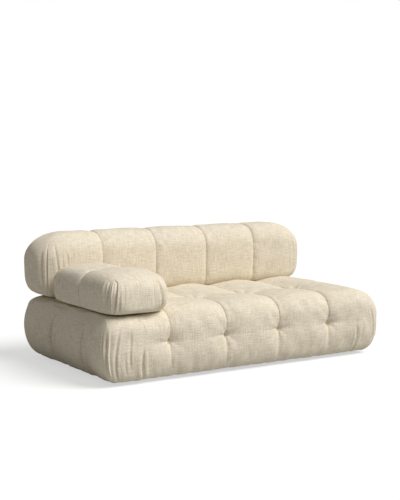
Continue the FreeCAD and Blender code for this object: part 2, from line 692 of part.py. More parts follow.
DOWN = V(0, 0, -1)
REARWARD = V(0, 1, 0)
TOP_SEATS = [V(x, y, TOP_TUFT_Z - TIE_SEAT_DEPTH) for x, y in TOP_TUFTS]
FRONT_SEATS = [V(x, FRONT_TUFT_Y + TIE_SEAT_DEPTH, FRONT_TUFT_HEIGHT) for x in CHANNEL_X]
TOP_TIE_LENGTH = TOP_TUFT_Z - TIE_SEAT_DEPTH - RAIL_TOP + ANCHOR_THICKNESS
FRONT_TIE_LENGTH = FRAME_INNER_FRONT_Y + ANCHOR_THICKNESS - FRONT_TUFT_Y - TIE_SEAT_DEPTH
TIE_RUNS = [(p, DOWN, TOP_TIE_LENGTH) for p in TOP_SEATS]
TIE_RUNS += [(p, REARWARD, FRONT_TIE_LENGTH) for p in FRONT_SEATS]
TIE_HOLES = [rod(TIE_HOLE_RADIUS, p, p + way * run) for p, way, run in TIE_RUNS]
TIE_SEAT_RADIUS = TIE_BUTTON_RADIUS + TIE_SEAT_CLEARANCE
TIE_SEATS = [rod(TIE_SEAT_RADIUS, p, p - way * TIE_SEAT_REACH) for p, way, _ in TIE_RUNS]

BACK_RISE = BACK_REST_HEIGHT + BACK_TONGUE_RISE
ARM_RISE = ARM_REST_HEIGHT + ARM_TONGUE_RISE
BACK_TONGUES = {"back_tongue_left": -BACK_TONGUE_X, "back_tongue_right": BACK_TONGUE_X}
ARM_TONGUES = {"arm_tongue_front": ARM_TONGUE_FRONT_Y, "arm_tongue_rear": ARM_TONGUE_REAR_Y}


def placed_tongues(shape):
    """Copies of one piece of hardware at every tongue."""
    at_backs = [at_back(shape, x) for x in BACK_TONGUES.values()]
    return at_backs + [at_arm(shape, y) for y in ARM_TONGUES.values()]


FOOT_PLACES = {
    "foot_front_left": (FOOT_INSET - FRAME_INNER_X, FRAME_INNER_FRONT_Y + FOOT_INSET),
    "foot_front_right": (FRAME_INNER_X - FOOT_INSET, FRAME_INNER_FRONT_Y + FOOT_INSET),
    "foot_rear_left": (FOOT_INSET - FRAME_INNER_X, FRAME_INNER_REAR_Y - FOOT_INSET),
    "foot_rear_right": (FRAME_INNER_X - FOOT_INSET, FRAME_INNER_REAR_Y - FOOT_INSET),
    "foot_middle_left": (-CROSS_RAIL_X, 0.0),
    "foot_middle_right": (CROSS_RAIL_X, 0.0),
}
FOOT_HOLES = [
    rod(FOOT_SCREW_RADIUS + SCREW_CLEARANCE, V(x, y, RAIL_BOTTOM),
        V(x, y, RAIL_BOTTOM + FOOT_SCREW_GRIP + SCREW_CLEARANCE))
    for x, y in FOOT_PLACES.values()
]


def foot(x, y):
    """Moulded glide that tapers to the floor, with a recess for its screw head."""
    body = Part.makeCone(FOOT_RADIUS, FOOT_TOP_RADIUS, RAIL_BOTTOM, V(x, y, 0))
    body = body.cut(rod(FOOT_RECESS_RADIUS, V(x, y, 0), V(x, y, FOOT_RECESS_DEPTH)))
    return body.cut(rod(FOOT_SCREW_RADIUS + SCREW_CLEARANCE, V(x, y, 0), V(x, y, RAIL_BOTTOM)))


def foot_screw(x, y):
    head_bottom = FOOT_RECESS_DEPTH - FOOT_SCREW_HEAD_HEIGHT
    head = rod(FOOT_SCREW_HEAD_RADIUS, V(x, y, head_bottom), V(x, y, FOOT_RECESS_DEPTH))
    return head.fuse(rod(FOOT_SCREW_RADIUS, V(x, y, head_bottom), V(x, y, RAIL_BOTTOM + FOOT_SCREW_GRIP)))


def seat_cover():
    """Quilted cover with its filling, hollow for the foam core and open below inside its stapled hem."""
    core_x = SEAT_CORE_LENGTH / 2 + CORE_CLEARANCE
    core_y = SEAT_CORE_DEPTH / 2 + CORE_CLEARANCE
    cavity = eased_block(-core_x, core_x, -core_y, core_y, RAIL_BOTTOM, SEAT_CORE_TOP + CORE_CLEARANCE,
                         SEAT_CORE_RADIUS, flat_base=True)
    opening = box(-FRAME_INNER_X, FRAME_INNER_X, FRAME_INNER_FRONT_Y, FRAME_INNER_REAR_Y, 0, RAIL_BOTTOM)
    slots = placed_tongues(tongue_slot(SEAT_CORE_TOP, SEAT_TOP))
    return seat_form().cut([cavity, opening] + slots + TIE_HOLES + TIE_SEATS)


def seat_foam():
    """Foam tray that caps the timber frame."""
    half_x = SEAT_CORE_LENGTH / 2
    half_y = SEAT_CORE_DEPTH / 2
    block = eased_block(-half_x, half_x, -half_y, half_y, RAIL_BOTTOM, SEAT_CORE_TOP,
                        SEAT_CORE_RADIUS, flat_base=True)
    room = box(-FRAME_X, FRAME_X, FRAME_FRONT_Y, FRAME_REAR_Y, RAIL_BOTTOM, DECK_TOP)
    slots = placed_tongues(tongue_slot(DECK_TOP, SEAT_CORE_TOP))
    return block.cut([room] + slots + TIE_HOLES)


def seat_deck():
    """Plywood platform with slots for the tongues, holes for the ties and a row of vents."""
    deck = box(-FRAME_X, FRAME_X, FRAME_FRONT_Y, FRAME_REAR_Y, RAIL_TOP, DECK_TOP)
    vent_y = (TOP_ROW_Y + BACK_FRONT_Y) / 2
    vents = [rod(VENT_RADIUS, V(x, vent_y, RAIL_TOP), V(x, vent_y, DECK_TOP)) for x in BAY_X]
    slots = placed_tongues(tongue_slot(RAIL_TOP, DECK_TOP))
    return deck.cut(vents + slots + TIE_HOLES)


def frame_rails():
    """Rails of the seat frame by name, bored for the ties, lag screws and foot screws."""
    rails = {
        "front_rail": box(-FRAME_X, FRAME_X, FRAME_FRONT_Y, FRAME_INNER_FRONT_Y, RAIL_BOTTOM, RAIL_TOP),
        "rear_rail": box(-FRAME_X, FRAME_X, FRAME_INNER_REAR_Y, FRAME_REAR_Y, RAIL_BOTTOM, RAIL_TOP),
    }
    for name, side in (("left", -1), ("right", 1)):
        edges = sorted((side * FRAME_INNER_X, side * FRAME_X))
        rails[name + "_end_rail"] = box(*edges, FRAME_INNER_FRONT_Y, FRAME_INNER_REAR_Y,
                                        RAIL_BOTTOM, RAIL_TOP)
        middle = side * CROSS_RAIL_X
        rails[name + "_cross_rail"] = box(middle - RAIL_THICKNESS / 2, middle + RAIL_THICKNESS / 2,
                                          FRAME_INNER_FRONT_Y, FRAME_INNER_REAR_Y, RAIL_BOTTOM, RAIL_TOP)
    lag_holes = [hole for z in lag_heights(RAIL_TOP) for hole in placed_tongues(lag_hole(z))]
    return {name: rail.cut(lag_holes + TIE_HOLES + FOOT_HOLES) for name, rail in rails.items()}


def corner_block(side_x, side_y):
    """Triangular glue block in a corner of the frame, which takes a foot."""
    x = side_x * FRAME_INNER_X
    y = FRAME_INNER_FRONT_Y if side_y < 0 else FRAME_INNER_REAR_Y
    corner = V(x, y, RAIL_BOTTOM)
    along_x = corner - V(side_x * CORNER_BLOCK_LEG, 0, 0)
    along_y = corner - V(0, side_y * CORNER_BLOCK_LEG, 0)
    face = Part.Face(Part.makePolygon([corner, along_x, along_y, corner]))
    return face.extrude(V(0, 0, CORNER_BLOCK_HEIGHT)).cut(FOOT_HOLES)


def dust_cover():
    """Thin cloth across the underside, lapped over the hem, with holes for the feet and the pivot."""
    sheet = box(-FRAME_INNER_X - DUST_COVER_LAP, FRAME_INNER_X + DUST_COVER_LAP,
                FRAME_INNER_FRONT_Y - DUST_COVER_LAP, FRAME_INNER_REAR_Y + DUST_COVER_LAP,
                COVER_LIFT - DUST_COVER_THICKNESS, COVER_LIFT)
    holes = [rod(FOOT_TOP_RADIUS, V(x, y, 0), V(x, y, COVER_LIFT)) for x, y in FOOT_PLACES.values()]
    pivot = V(COUPLING_X, COUPLING_Y, 0)
    holes.append(rod(COUPLING_COLLAR_RADIUS + SCREW_CLEARANCE, pivot, pivot + V(0, 0, COVER_LIFT)))
    return sheet.cut(holes)


def coupling_block():
    """Block on the open end's rail, bored for the coupling pivot."""
    half = COUPLING_BLOCK_SIZE / 2
    block = box(COUPLING_X - half, COUPLING_X + half, COUPLING_Y - half, COUPLING_Y + half,
                RAIL_BOTTOM, RAIL_BOTTOM + COUPLING_BLOCK_HEIGHT)
    bottom = V(COUPLING_X, COUPLING_Y, RAIL_BOTTOM)
    depth = COUPLING_GRIP + SCREW_CLEARANCE
    return block.cut(rod(COUPLING_PIVOT_RADIUS + SCREW_CLEARANCE, bottom, bottom + V(0, 0, depth)))


def coupling_pivot():
    """Shouldered screw: a head, a journal for the bar, a collar against the block and a screw shank."""
    bar_bottom = COUPLING_BAR_TOP - COUPLING_BAR_THICKNESS
    head_top = bar_bottom - COUPLING_RUNNING_GAP
    centre = V(COUPLING_X, COUPLING_Y, 0)
    levels = [
        (COUPLING_COLLAR_RADIUS, head_top - COUPLING_HEAD_HEIGHT, head_top),
        (COUPLING_PIVOT_RADIUS, head_top, RAIL_BOTTOM + COUPLING_GRIP),
        (COUPLING_COLLAR_RADIUS, COUPLING_BAR_TOP + COUPLING_RUNNING_GAP, RAIL_BOTTOM),
    ]
    turned = [rod(r, centre + V(0, 0, z0), centre + V(0, 0, z1)) for r, z0, z1 in levels]
    return turned[0].fuse(turned[1:]).removeSplitter()


def coupling_bar():
    """Flat bar with round ends, swung inwards out of sight, with a hole for the next module's stud."""
    bottom = COUPLING_BAR_TOP - COUPLING_BAR_THICKNESS
    near = V(COUPLING_X, COUPLING_Y, bottom)
    far = near - V(COUPLING_REACH, 0, 0)
    up = V(0, 0, COUPLING_BAR_THICKNESS)
    half = COUPLING_BAR_WIDTH / 2
    bar = box(far.x, near.x, near.y - half, near.y + half, bottom, COUPLING_BAR_TOP)
    bar = bar.fuse([rod(half, near, near + up), rod(half, far, far + up)]).removeSplitter()
    pivot_hole = rod(COUPLING_PIVOT_RADIUS + COUPLING_PIVOT_CLEARANCE, near, near + up)
    return bar.cut([pivot_hole, rod(COUPLING_HOLE_RADIUS, far, far + up)])


# Back bolster

def back_core(clearance):
    half_x = BACK_CORE_LENGTH / 2 + clearance
    half_y = BACK_CORE_THICKNESS / 2 + clearance
    return eased_block(-half_x, half_x, BACK_CENTRE_Y - half_y, BACK_CENTRE_Y + half_y,
                       BACK_BOTTOM + BACK_CORE_GAP - clearance, BACK_TOP - BACK_CORE_TOP_GAP + clearance,
                       BACK_CORE_RADIUS)


def back_cover():
    """Quilted cover with its filling, hollow for the core and slotted below for the tongues."""
    slot = tongue_slot(BACK_BOTTOM, LADDER_BOTTOM)
    return back_form().cut([back_core(CORE_CLEARANCE)] + [at_back(slot, x) for x in BACK_TONGUES.values()])


def back_foam():
    """Foam core with a pocket for the ladder frame and the receivers."""
    half = LADDER_LENGTH / 2
    ladder = box(-half, half, LADDER_FRONT_Y, LADDER_FRONT_Y + LADDER_THICKNESS, LADDER_BOTTOM, LADDER_TOP)
    room = receiver_pocket(LADDER_BOTTOM, BACK_RISE).fuse(tongue_slot(BACK_BOTTOM, LADDER_BOTTOM))
    return back_core(0).cut([ladder] + [at_back(room, x) for x in BACK_TONGUES.values()])


def back_ladder():
    """Rails and stiles of the back's frame by name, with the receivers' screw holes in the inner stiles."""
    half = LADDER_LENGTH / 2
    rear = LADDER_FRONT_Y + LADDER_THICKNESS
    low = LADDER_BOTTOM + LADDER_RAIL_HEIGHT
    high = LADDER_TOP - LADDER_RAIL_HEIGHT
    pieces = {
        "back_bottom_rail": box(-half, half, LADDER_FRONT_Y, rear, LADDER_BOTTOM, low),
        "back_top_rail": box(-half, half, LADDER_FRONT_Y, rear, high, LADDER_TOP),
    }
    for name, x in STILES.items():
        pieces[name] = box(x - STILE_WIDTH / 2, x + STILE_WIDTH / 2, LADDER_FRONT_Y, rear, low, high)
    holes = [at_back(wood_screw_hole(x, z), place) for place in BACK_TONGUES.values()
             for x, z in receiver_screws(LADDER_BOTTOM, BACK_RISE)]
    return {name: piece.cut(holes) for name, piece in pieces.items()}


# Arm bolster

def arm_core(clearance):
    half = ARM_CORE_WIDTH / 2 + clearance
    return eased_block(ARM_CENTRE_X - half, ARM_CENTRE_X + half,
                       ARM_CORE_FRONT_Y - clearance, ARM_CORE_REAR_Y + clearance,
                       ARM_BOTTOM + ARM_CORE_GAP - clearance, ARM_CORE_TOP + clearance,
                       ARM_CORE_RADIUS)


def arm_cover():
    """Quilted cover with its filling, hollow for the core and slotted below for the tongues."""
    slot = tongue_slot(ARM_BOTTOM, ARM_BOARD_BOTTOM)
    return arm_form().cut([arm_core(CORE_CLEARANCE)] + [at_arm(slot, y) for y in ARM_TONGUES.values()])


def arm_board_span():
    return ARM_CORE_FRONT_Y + ARM_BOARD_END_GAP, ARM_CORE_REAR_Y - ARM_BOARD_END_GAP


def arm_bottom_board():
    """Plywood sole of the arm, slotted for the tongues."""
    y0, y1 = arm_board_span()
    board = box(ARM_CENTRE_X - ARM_BOARD_WIDTH / 2, ARM_CENTRE_X + ARM_BOARD_WIDTH / 2, y0, y1,
                ARM_BOARD_BOTTOM, ARM_BOARD_TOP)
    slot = tongue_slot(ARM_BOARD_BOTTOM, ARM_BOARD_TOP)
    return board.cut([at_arm(slot, y) for y in ARM_TONGUES.values()])


def arm_spine_board():
    """Upright board on the sole that holds the receivers."""
    y0, y1 = arm_board_span()
    board = box(ARM_SPINE_X, ARM_SPINE_X + ARM_BOARD_THICKNESS, y0, y1,
                ARM_BOARD_TOP, ARM_SPINE_TOP)
    holes = [at_arm(facing_spine(wood_screw_hole(x, z)), y) for y in ARM_TONGUES.values()
             for x, z in receiver_screws(ARM_BOARD_TOP, ARM_RISE)]
    return board.cut(holes)


def arm_foam():
    """Foam core with room for the boards, the receivers and the tongues."""
    y0, y1 = arm_board_span()
    sole = box(ARM_CENTRE_X - ARM_BOARD_WIDTH / 2, ARM_CENTRE_X + ARM_BOARD_WIDTH / 2, y0, y1,
               ARM_BOARD_BOTTOM, ARM_BOARD_TOP)
    spine = box(ARM_SPINE_X, ARM_SPINE_X + ARM_BOARD_THICKNESS, y0, y1,
                ARM_BOARD_TOP, ARM_SPINE_TOP)
    room = receiver_pocket(ARM_BOARD_TOP, ARM_RISE).fuse(tongue_slot(ARM_BOTTOM, ARM_BOARD_BOTTOM))
    return arm_core(0).cut([sole, spine] + [at_arm(facing_spine(room), y) for y in ARM_TONGUES.values()])


# All pieces by node name

def pieces():
    """Every node of the sofa, by name."""
    anchors = [tie_anchor(p + way * (run - ANCHOR_THICKNESS), way) for p, way, run in TIE_RUNS]
    made = {
        "seat_cover": seat_cover(),
        "seat_foam": seat_foam(),
        "seat_deck": seat_deck(),
        "dust_cover": dust_cover(),
        "coupling_block": coupling_block(),
        "coupling_pivot": coupling_pivot(),
        "coupling_bar": coupling_bar(),
        "foot_screws": group([foot_screw(x, y) for x, y in FOOT_PLACES.values()]),
        "seat_tuft_ties": group([tuft_tie(p, DOWN, TOP_TIE_LENGTH) for p in TOP_SEATS]),
        "front_tuft_ties": group([tuft_tie(p, REARWARD, FRONT_TIE_LENGTH) for p in FRONT_SEATS]),
        "tuft_anchors": group(anchors),
        "tongue_screws": group([s for z in lag_heights(RAIL_TOP) for s in placed_tongues(lag_screw(z))]),
        "back_cover": back_cover(),
        "back_foam": back_foam(),
        "arm_cover": arm_cover(),
        "arm_foam": arm_foam(),
        "arm_bottom_board": arm_bottom_board(),
        "arm_spine_board": arm_spine_board(),
    }
    made.update(frame_rails())
    made.update(back_ladder())
    for name_y, side_y in (("front", -1), ("rear", 1)):
        for name_x, side_x in (("left", -1), ("right", 1)):
            made["corner_block_%s_%s" % (name_y, name_x)] = corner_block(side_x, side_y)
    for name, (x, y) in FOOT_PLACES.items():
        made[name] = foot(x, y)
    screws = [wood_screw(x, z) for x, z in receiver_screws(LADDER_BOTTOM, BACK_RISE)]
    for name, x in BACK_TONGUES.items():
        made[name] = at_back(tongue(BACK_RISE, RAIL_TOP), x)
        made[name.replace("tongue", "receiver")] = at_back(receiver(LADDER_BOTTOM, BACK_RISE), x)
    made["back_receiver_screws"] = group([at_back(s, x) for x in BACK_TONGUES.values() for s in screws])
    screws = [facing_spine(wood_screw(x, z)) for x, z in receiver_screws(ARM_BOARD_TOP, ARM_RISE)]
    sleeve = facing_spine(receiver(ARM_BOARD_TOP, ARM_RISE))
    for name, y in ARM_TONGUES.items():
        made[name] = at_arm(tongue(ARM_RISE, RAIL_TOP), y)
        made[name.replace("tongue", "receiver")] = at_arm(sleeve, y)
    made["arm_receiver_screws"] = group([at_arm(s, y) for y in ARM_TONGUES.values() for s in screws])
    return made


os.makedirs("parts", exist_ok=True)
for node, shape in pieces().items():
    shape.exportStep("parts/%s.step" % node)
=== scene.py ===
"""One-arm sectional sofa module: a tufted seat block, a back bolster and an arm bolster in slub cloth."""
import json
import math

import bpy
import numpy as np
from bpy.props import FloatProperty, FloatVectorProperty, IntProperty, PointerProperty, StringProperty
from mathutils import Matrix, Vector
from mathutils.bvhtree import BVHTree


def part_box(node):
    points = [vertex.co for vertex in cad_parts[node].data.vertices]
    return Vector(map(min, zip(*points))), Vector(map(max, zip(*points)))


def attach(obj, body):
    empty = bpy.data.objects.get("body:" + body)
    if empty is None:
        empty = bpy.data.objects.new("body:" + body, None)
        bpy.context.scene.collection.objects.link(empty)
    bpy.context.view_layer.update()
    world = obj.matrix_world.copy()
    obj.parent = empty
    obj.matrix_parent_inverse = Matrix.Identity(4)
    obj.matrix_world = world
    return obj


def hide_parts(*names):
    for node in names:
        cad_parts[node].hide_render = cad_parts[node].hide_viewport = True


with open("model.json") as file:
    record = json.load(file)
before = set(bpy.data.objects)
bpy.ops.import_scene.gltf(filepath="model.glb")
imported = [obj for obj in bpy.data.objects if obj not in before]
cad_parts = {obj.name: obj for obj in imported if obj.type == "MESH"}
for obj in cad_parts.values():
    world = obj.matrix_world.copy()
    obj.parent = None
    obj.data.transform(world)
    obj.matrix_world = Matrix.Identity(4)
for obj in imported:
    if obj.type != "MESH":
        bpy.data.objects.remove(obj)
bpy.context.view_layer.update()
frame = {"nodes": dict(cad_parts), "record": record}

bl_info = {
    "name": "Tufted Sectional Sofa",
    "version": (1, 0, 0),
    "blender": (4, 5, 0),
    "location": "View3D > Sidebar > Sofa",
    "description": "Upholsters the seat block and the two bolsters of a one-arm sectional sofa module",
    "category": "Object",
}

MM = 0.001
THREAD_UV = "thread_run"
BLOCK_PLACE = "block_place"
# Per point, how far the cloth is drawn in, as the mask of the shade painted into its folds.
CREASE_SHADE_MASK = "painted_crease_shade"
CLOTH = "slub_woven_upholstery_cloth"
# Points count as on a line or a face within this distance, in metres.
ON_LINE = 1e-4
# The way to the key light, and how far off its lamp is put.
KEY_FROM = Vector((0.40, -0.50, 0.77))
KEY_DISTANCE = 6.0

# Lengths of the slubs and the flecks in the cloth, and the height of its threads, in millimetres.
SLUB_MM = 60.0
FLECK_MM = 9.0
THREAD_BUMP_MM = 0.6
# How much longer than wide the figure of sawn wood is, as the scale along the board.
GRAIN_ALONG = 0.06

# How far the gathers beside a seam reach, how many folds run out from a tuft, and the depth at which the
# cloth takes the full painted shade of its folds.
GATHER_REACH = 0.016
TUFT_FOLD_COUNT = 7
CREASE_SHADE_FULL_DEPTH = 0.03
# A pleat fades in and out over these shares of its length. Its crease has a steep and a slack side, as shares
# of its half width, and a lip beside it: its height, place and half width, as shares of the crease's own.
PLEAT_FADE_IN = (-0.12, 0.25)
PLEAT_FADE_OUT = (0.8, 1.12)
PLEAT_STEEP = 0.8
PLEAT_SLACK = 1.5
LIP_HEIGHT = 0.25
LIP_PLACE = 2.2
LIP_WIDTH = 1.3
# Share, pitch and phase of each sine in an uneven wave. Together they never quite line up.
RIPPLE_SINES = ((1.0, 1.0, 1.0), (0.6, 1.71, 2.3), (0.4, 0.53, -1.0))
DRAPE_WAVES = 5
# Four channels part the five bays of the seat and the back.
CHANNEL_COUNT = 4
# The top of a block, counted from its highest point.
TOP_BAND = (-0.002, -0.001)
# How far the skin is evened out near the bottom of a piece, and up to what height.
EVEN_SHARE = 0.5
EVEN_RISE = (0.015, 0.05)
# Keeps a division from failing where the cloth hasn't moved.
TINY = 1e-9

# Pleats where the cloth is gathered at upright corners, in metres: place round the corner (along the front,
# or less than 0 back along the end), top and bottom height, lean from top to bottom, depth (less than 0 for a
# fold that stands out), half width.
SEAT_LEFT_PLEATS = (
    (-0.082, 0.235, 0.150, 0.000, 0.0020, 0.005),
    (-0.056, 0.262, 0.090, 0.004, 0.0032, 0.006),
    (-0.034, 0.275, 0.120, 0.004, 0.0030, 0.005),
    (0.008, 0.278, 0.090, -0.018, 0.0040, 0.006),
    (0.034, 0.285, 0.055, -0.026, -0.0046, 0.007),
    (0.092, 0.280, 0.030, -0.046, 0.0055, 0.006),
    (0.118, 0.140, 0.060, -0.010, 0.0020, 0.005),
    (0.155, 0.265, 0.090, -0.016, 0.0042, 0.005),
    (0.220, 0.178, 0.020, -0.022, 0.0055, 0.006),
    (0.240, 0.165, 0.030, -0.020, -0.0032, 0.007),
)
SEAT_RIGHT_PLEATS = (
    (0.196, 0.178, 0.022, -0.042, 0.0048, 0.006),
    (0.212, 0.165, 0.030, -0.036, -0.0024, 0.007),
    (0.150, 0.190, 0.085, -0.010, 0.0020, 0.005),
    (0.094, 0.265, 0.080, -0.056, 0.0046, 0.006),
    (0.040, 0.235, 0.120, -0.010, 0.0026, 0.005),
    (-0.015, 0.260, 0.080, 0.000, 0.0040, 0.007),
    (-0.060, 0.230, 0.110, -0.004, 0.0028, 0.006),
)
BACK_LEFT_PLEATS = (
    (-0.028, 0.600, 0.430, 0.004, 0.0036, 0.010),
    (0.006, 0.610, 0.420, -0.002, -0.0032, 0.008),
    (0.028, 0.628, 0.395, -0.004, 0.0065, 0.006),
    (0.088, 0.632, 0.470, 0.022, 0.0042, 0.006),
    (0.128, 0.585, 0.500, 0.004, 0.0020, 0.005),
    (0.158, 0.582, 0.520, 0.003, 0.0026, 0.005),
)
BACK_RIGHT_PLEATS = (
    (0.122, 0.590, 0.430, -0.008, 0.0016, 0.006),
    (0.088, 0.640, 0.395, -0.032, 0.0042, 0.006),
    (0.030, 0.620, 0.410, -0.018, 0.0036, 0.006),
    (-0.030, 0.600, 0.430, 0.000, 0.0030, 0.007),
)
ARM_LEFT_PLEATS = (
    (-0.137, 0.500, 0.350, -0.008, 0.0036, 0.006),
    (-0.086, 0.515, 0.355, -0.004, -0.0036, 0.008),
    (-0.066, 0.490, 0.355, -0.004, 0.0034, 0.006),
    (-0.040, 0.520, 0.345, -0.018, 0.0065, 0.007),
    (-0.004, 0.508, 0.350, -0.010, -0.0042, 0.009),
    (0.038, 0.520, 0.345, -0.022, 0.0062, 0.0065),
    (0.054, 0.470, 0.365, -0.006, 0.0024, 0.005),
    (0.082, 0.505, 0.400, -0.006, 0.0018, 0.006),
)
ARM_RIGHT_PLEATS = (
    (0.119, 0.490, 0.400, 0.000, 0.0020, 0.005),
    (0.084, 0.518, 0.368, -0.012, 0.0048, 0.006),
    (0.068, 0.490, 0.380, -0.008, -0.0024, 0.006),
    (0.052, 0.482, 0.378, -0.004, 0.0042, 0.006),
    (0.010, 0.490, 0.370, 0.000, 0.0032, 0.007),
)
# Folds behind each tuft in the top, in the same way: place beside the tuft, furthest and nearest distance
# behind it, lean, depth, half width.
TUFT_FOLDS = (
    (-0.040, 0.120, 0.012, 0.028, -0.0042, 0.008),
    (0.034, 0.095, 0.012, -0.022, -0.0032, 0.007),
)
# Creases in the two ends: place back to front, top and bottom height, lean, depth, half width.
LEFT_CREASES = (
    (0.242, 0.275, 0.050, -0.026, 0.0110, 0.011),
    (-0.108, 0.285, 0.050, -0.030, 0.0110, 0.011),
)
RIGHT_CREASES = (
    (0.275, 0.250, 0.060, 0.000, 0.0060, 0.009),
    (-0.075, 0.260, 0.060, 0.000, 0.0060, 0.009),
)
# What comes down through the dust sheet.
SHEET_HOLES = ("foot_front_left", "foot_front_right", "foot_middle_left", "foot_middle_right",
               "foot_rear_left", "foot_rear_right", "coupling_pivot")


# Settings

def metres(name, default, description):
    """A setting that holds a length."""
    return FloatProperty(name=name, description=description, default=default, unit="LENGTH")


def hex_colour(name, default, description):
    """A setting that holds a colour."""
    return StringProperty(name=name, description=description + ", sRGB hex", default=default)


class SofaFormSettings(bpy.types.PropertyGroup):
    """Sizes of the sewing and the filling."""
    bay_pitch: metres("Bay pitch", 0.334, "Distance between neighbouring channels")
    top_row: metres("Top tuft row", -0.175, "Place of the tufts in the top, front to back")
    front_tuft_height: metres("Front tuft height", 0.200, "Height of the tufts in the front face")
    mesh_step: metres("Mesh step", 0.0125, "Mesh spacing before the last subdivision")
    fine_step: metres("Fine step", 0.0065, "Mesh spacing at pleated corners, before subdivision")
    seam_depth: metres("Seam depth", 0.0022, "How far a sewn seam sinks below its channel")
    seam_width: metres("Seam width", 0.0045, "Half width of the crease at a sewn seam")
    shoulder: metres("Seam shoulder", 0.004, "How far the filling rounds out beside a seam")
    shoulder_reach: metres("Shoulder reach", 0.024, "Distance from a seam to its fullest shoulder")
    seat_fill: metres("Seat channel fill", 0.004, "How far the filling evens out the seat's channels")
    seat_fill_reach: metres("Channel fill reach", 0.020, "Half width of that filling")
    tuft_depth: metres("Tuft depth", 0.009, "How far a tuft is pulled in below its channel")
    tuft_width: metres("Tuft width", 0.015, "Radius of the pinch at a tuft")
    pucker: metres("Pucker", 0.0009, "Height of the small gathers beside the stitching")
    pucker_pitch: metres("Pucker pitch", 0.024, "Distance between gathers along a seam")
    crest: metres("Crest", 0.004, "How far each bay of the seat rises in front of the back")
    staple_pitch: metres("Staple pitch", 0.05, "Distance between the dust sheet's staples")
    staple_pull: metres("Staple pull", 0.0004, "Height of the dust sheet's puckers at its staples")
    sheet_sag: metres("Sheet sag", 0.0012, "How far the dust sheet hangs down in its middle")
    sheet_thickness: metres("Sheet thickness", 0.0006, "Thickness of the dust sheet")
    arm_crown: metres("Arm crown", 0.010, "How far the arm's front bay swells above its seam")
    arm_room: metres("Arm room", 0.001, "Most that the back stands out where the arm passes it")
    drape: metres("Drape", 0.0012, "Height of the slow unevenness of the cloth")
    swell: metres("Swell", 0.003, "Furthest that the filling may push the cloth out")
    slack: FloatProperty(name="Slack", description="Share of spare cloth in the covers", default=0.02)
    pressure: FloatProperty(name="Filling pressure", description="Push of the filling on the cloth",
                            default=0.6)
    frames: IntProperty(name="Settling frames", description="Frames for which the cloth settles", default=12)


class SofaFinishSettings(bpy.types.PropertyGroup):
    """Colours of the cloth and of the shade painted into its folds, and the spacing of its threads."""
    cloth: hex_colour("Cloth", "#E2D7C2", "Main colour of the cloth")
    cloth_dark: hex_colour("Cloth, dark thread", "#D2C5AC", "Darker threads")
    cloth_light: hex_colour("Cloth, light slub", "#F0E7D6", "Lighter slubs")
    # Painted shade: the colour that the cloth takes where it is drawn into seams, tufts and pleats.
    painted_fold_shade: hex_colour("Cloth, in folds", "#D2C4A9", "Shade of the cloth in its folds")
    thread_mm: FloatProperty(name="Thread spacing", default=5.0,
                             description="Spacing of the drawn threads, in millimetres")


class SofaStageSettings(bpy.types.PropertyGroup):
    """Lamp, surroundings and camera."""
    key_strength: FloatProperty(name="Key light", default=3.14,
                                description="Strength of the soft light from the front right")
    key_spread: FloatProperty(name="Key spread", description="How wide the soft light is in the sky",
                              default=math.radians(35), subtype="ANGLE")
    ambient: FloatProperty(name="Ambient", description="Strength of the light from all around", default=0.21)
    camera_place: FloatVectorProperty(name="Camera", description="Where the camera stands", size=3,
                                      default=(-3.1364, -4.8813, 1.1552), subtype="TRANSLATION")
    camera_turn: FloatVectorProperty(
        name="Camera turn", description="How the camera is turned", size=3,
        default=(math.radians(84.3875), 0.0, math.radians(-32.581)), subtype="EULER")
    lens: FloatProperty(name="Lens", description="Focal length for a sensor 36 mm wide", default=76.08)


# Colour and node helpers

def to_linear(value):
    """Linear RGBA of an sRGB hex value."""
    channels = [int(value[i:i + 2], 16) / 255 for i in (1, 3, 5)]
    linear = [c / 12.92 if c <= 0.04045 else ((c + 0.055) / 1.055) ** 2.4 for c in channels]
    return (*linear, 1.0)


def add(tree, kind, inputs=None, stops=(), **settings):
    """Adds a node, sets its options and its colour stops of (place, hex), and fills or links its inputs."""
    made = tree.nodes.new(kind)
    for name, value in settings.items():
        setattr(made, name, value)
    for i, (place, shade) in enumerate(stops):
        elements = made.color_ramp.elements
        element = elements[i] if i < len(elements) else elements.new(place)
        element.position = place
        element.color = to_linear(shade)
    for key, value in (inputs or {}).items():
        if isinstance(value, bpy.types.NodeSocket):
            tree.links.new(value, made.inputs[key])
        else:
            made.inputs[key].default_value = value
    return made


def new_material(name):
    """An empty node material, and its tree."""
    material = bpy.data.materials.new(name)
    material.use_nodes = True
    material.node_tree.nodes.clear()
    return material, material.node_tree


def seen_share(tree):
    """1 for a ray from the camera or one that gloss or glass sends on, and 0 for light on a surface."""
    path = add(tree, "ShaderNodeLightPath")
    shiny = add(tree, "ShaderNodeMath", {0: path.outputs["Is Camera Ray"], 1: path.outputs["Is Glossy Ray"]},
                operation="MAXIMUM")
    clear = add(tree, "ShaderNodeMath", {0: shiny.outputs[0], 1: path.outputs["Is Transmission Ray"]},
                operation="MAXIMUM")
    return clear.outputs[0]


def finish_surface(tree, colour, height, bump_mm, **constants):
    """A Principled surface: a linked colour, a bump from a height, and constants on its own sockets."""
    bump = add(tree, "ShaderNodeBump", {"Height": height, "Strength": 1.0, "Distance": bump_mm * MM})
    shader = add(tree, "ShaderNodeBsdfPrincipled", {"Base Color": colour, "Normal": bump.outputs["Normal"]})
    for key, value in constants.items():
        shader.inputs[key.replace("_", " ")].default_value = value
    add(tree, "ShaderNodeOutputMaterial", {"Surface": shader.outputs["BSDF"]})


# Materials

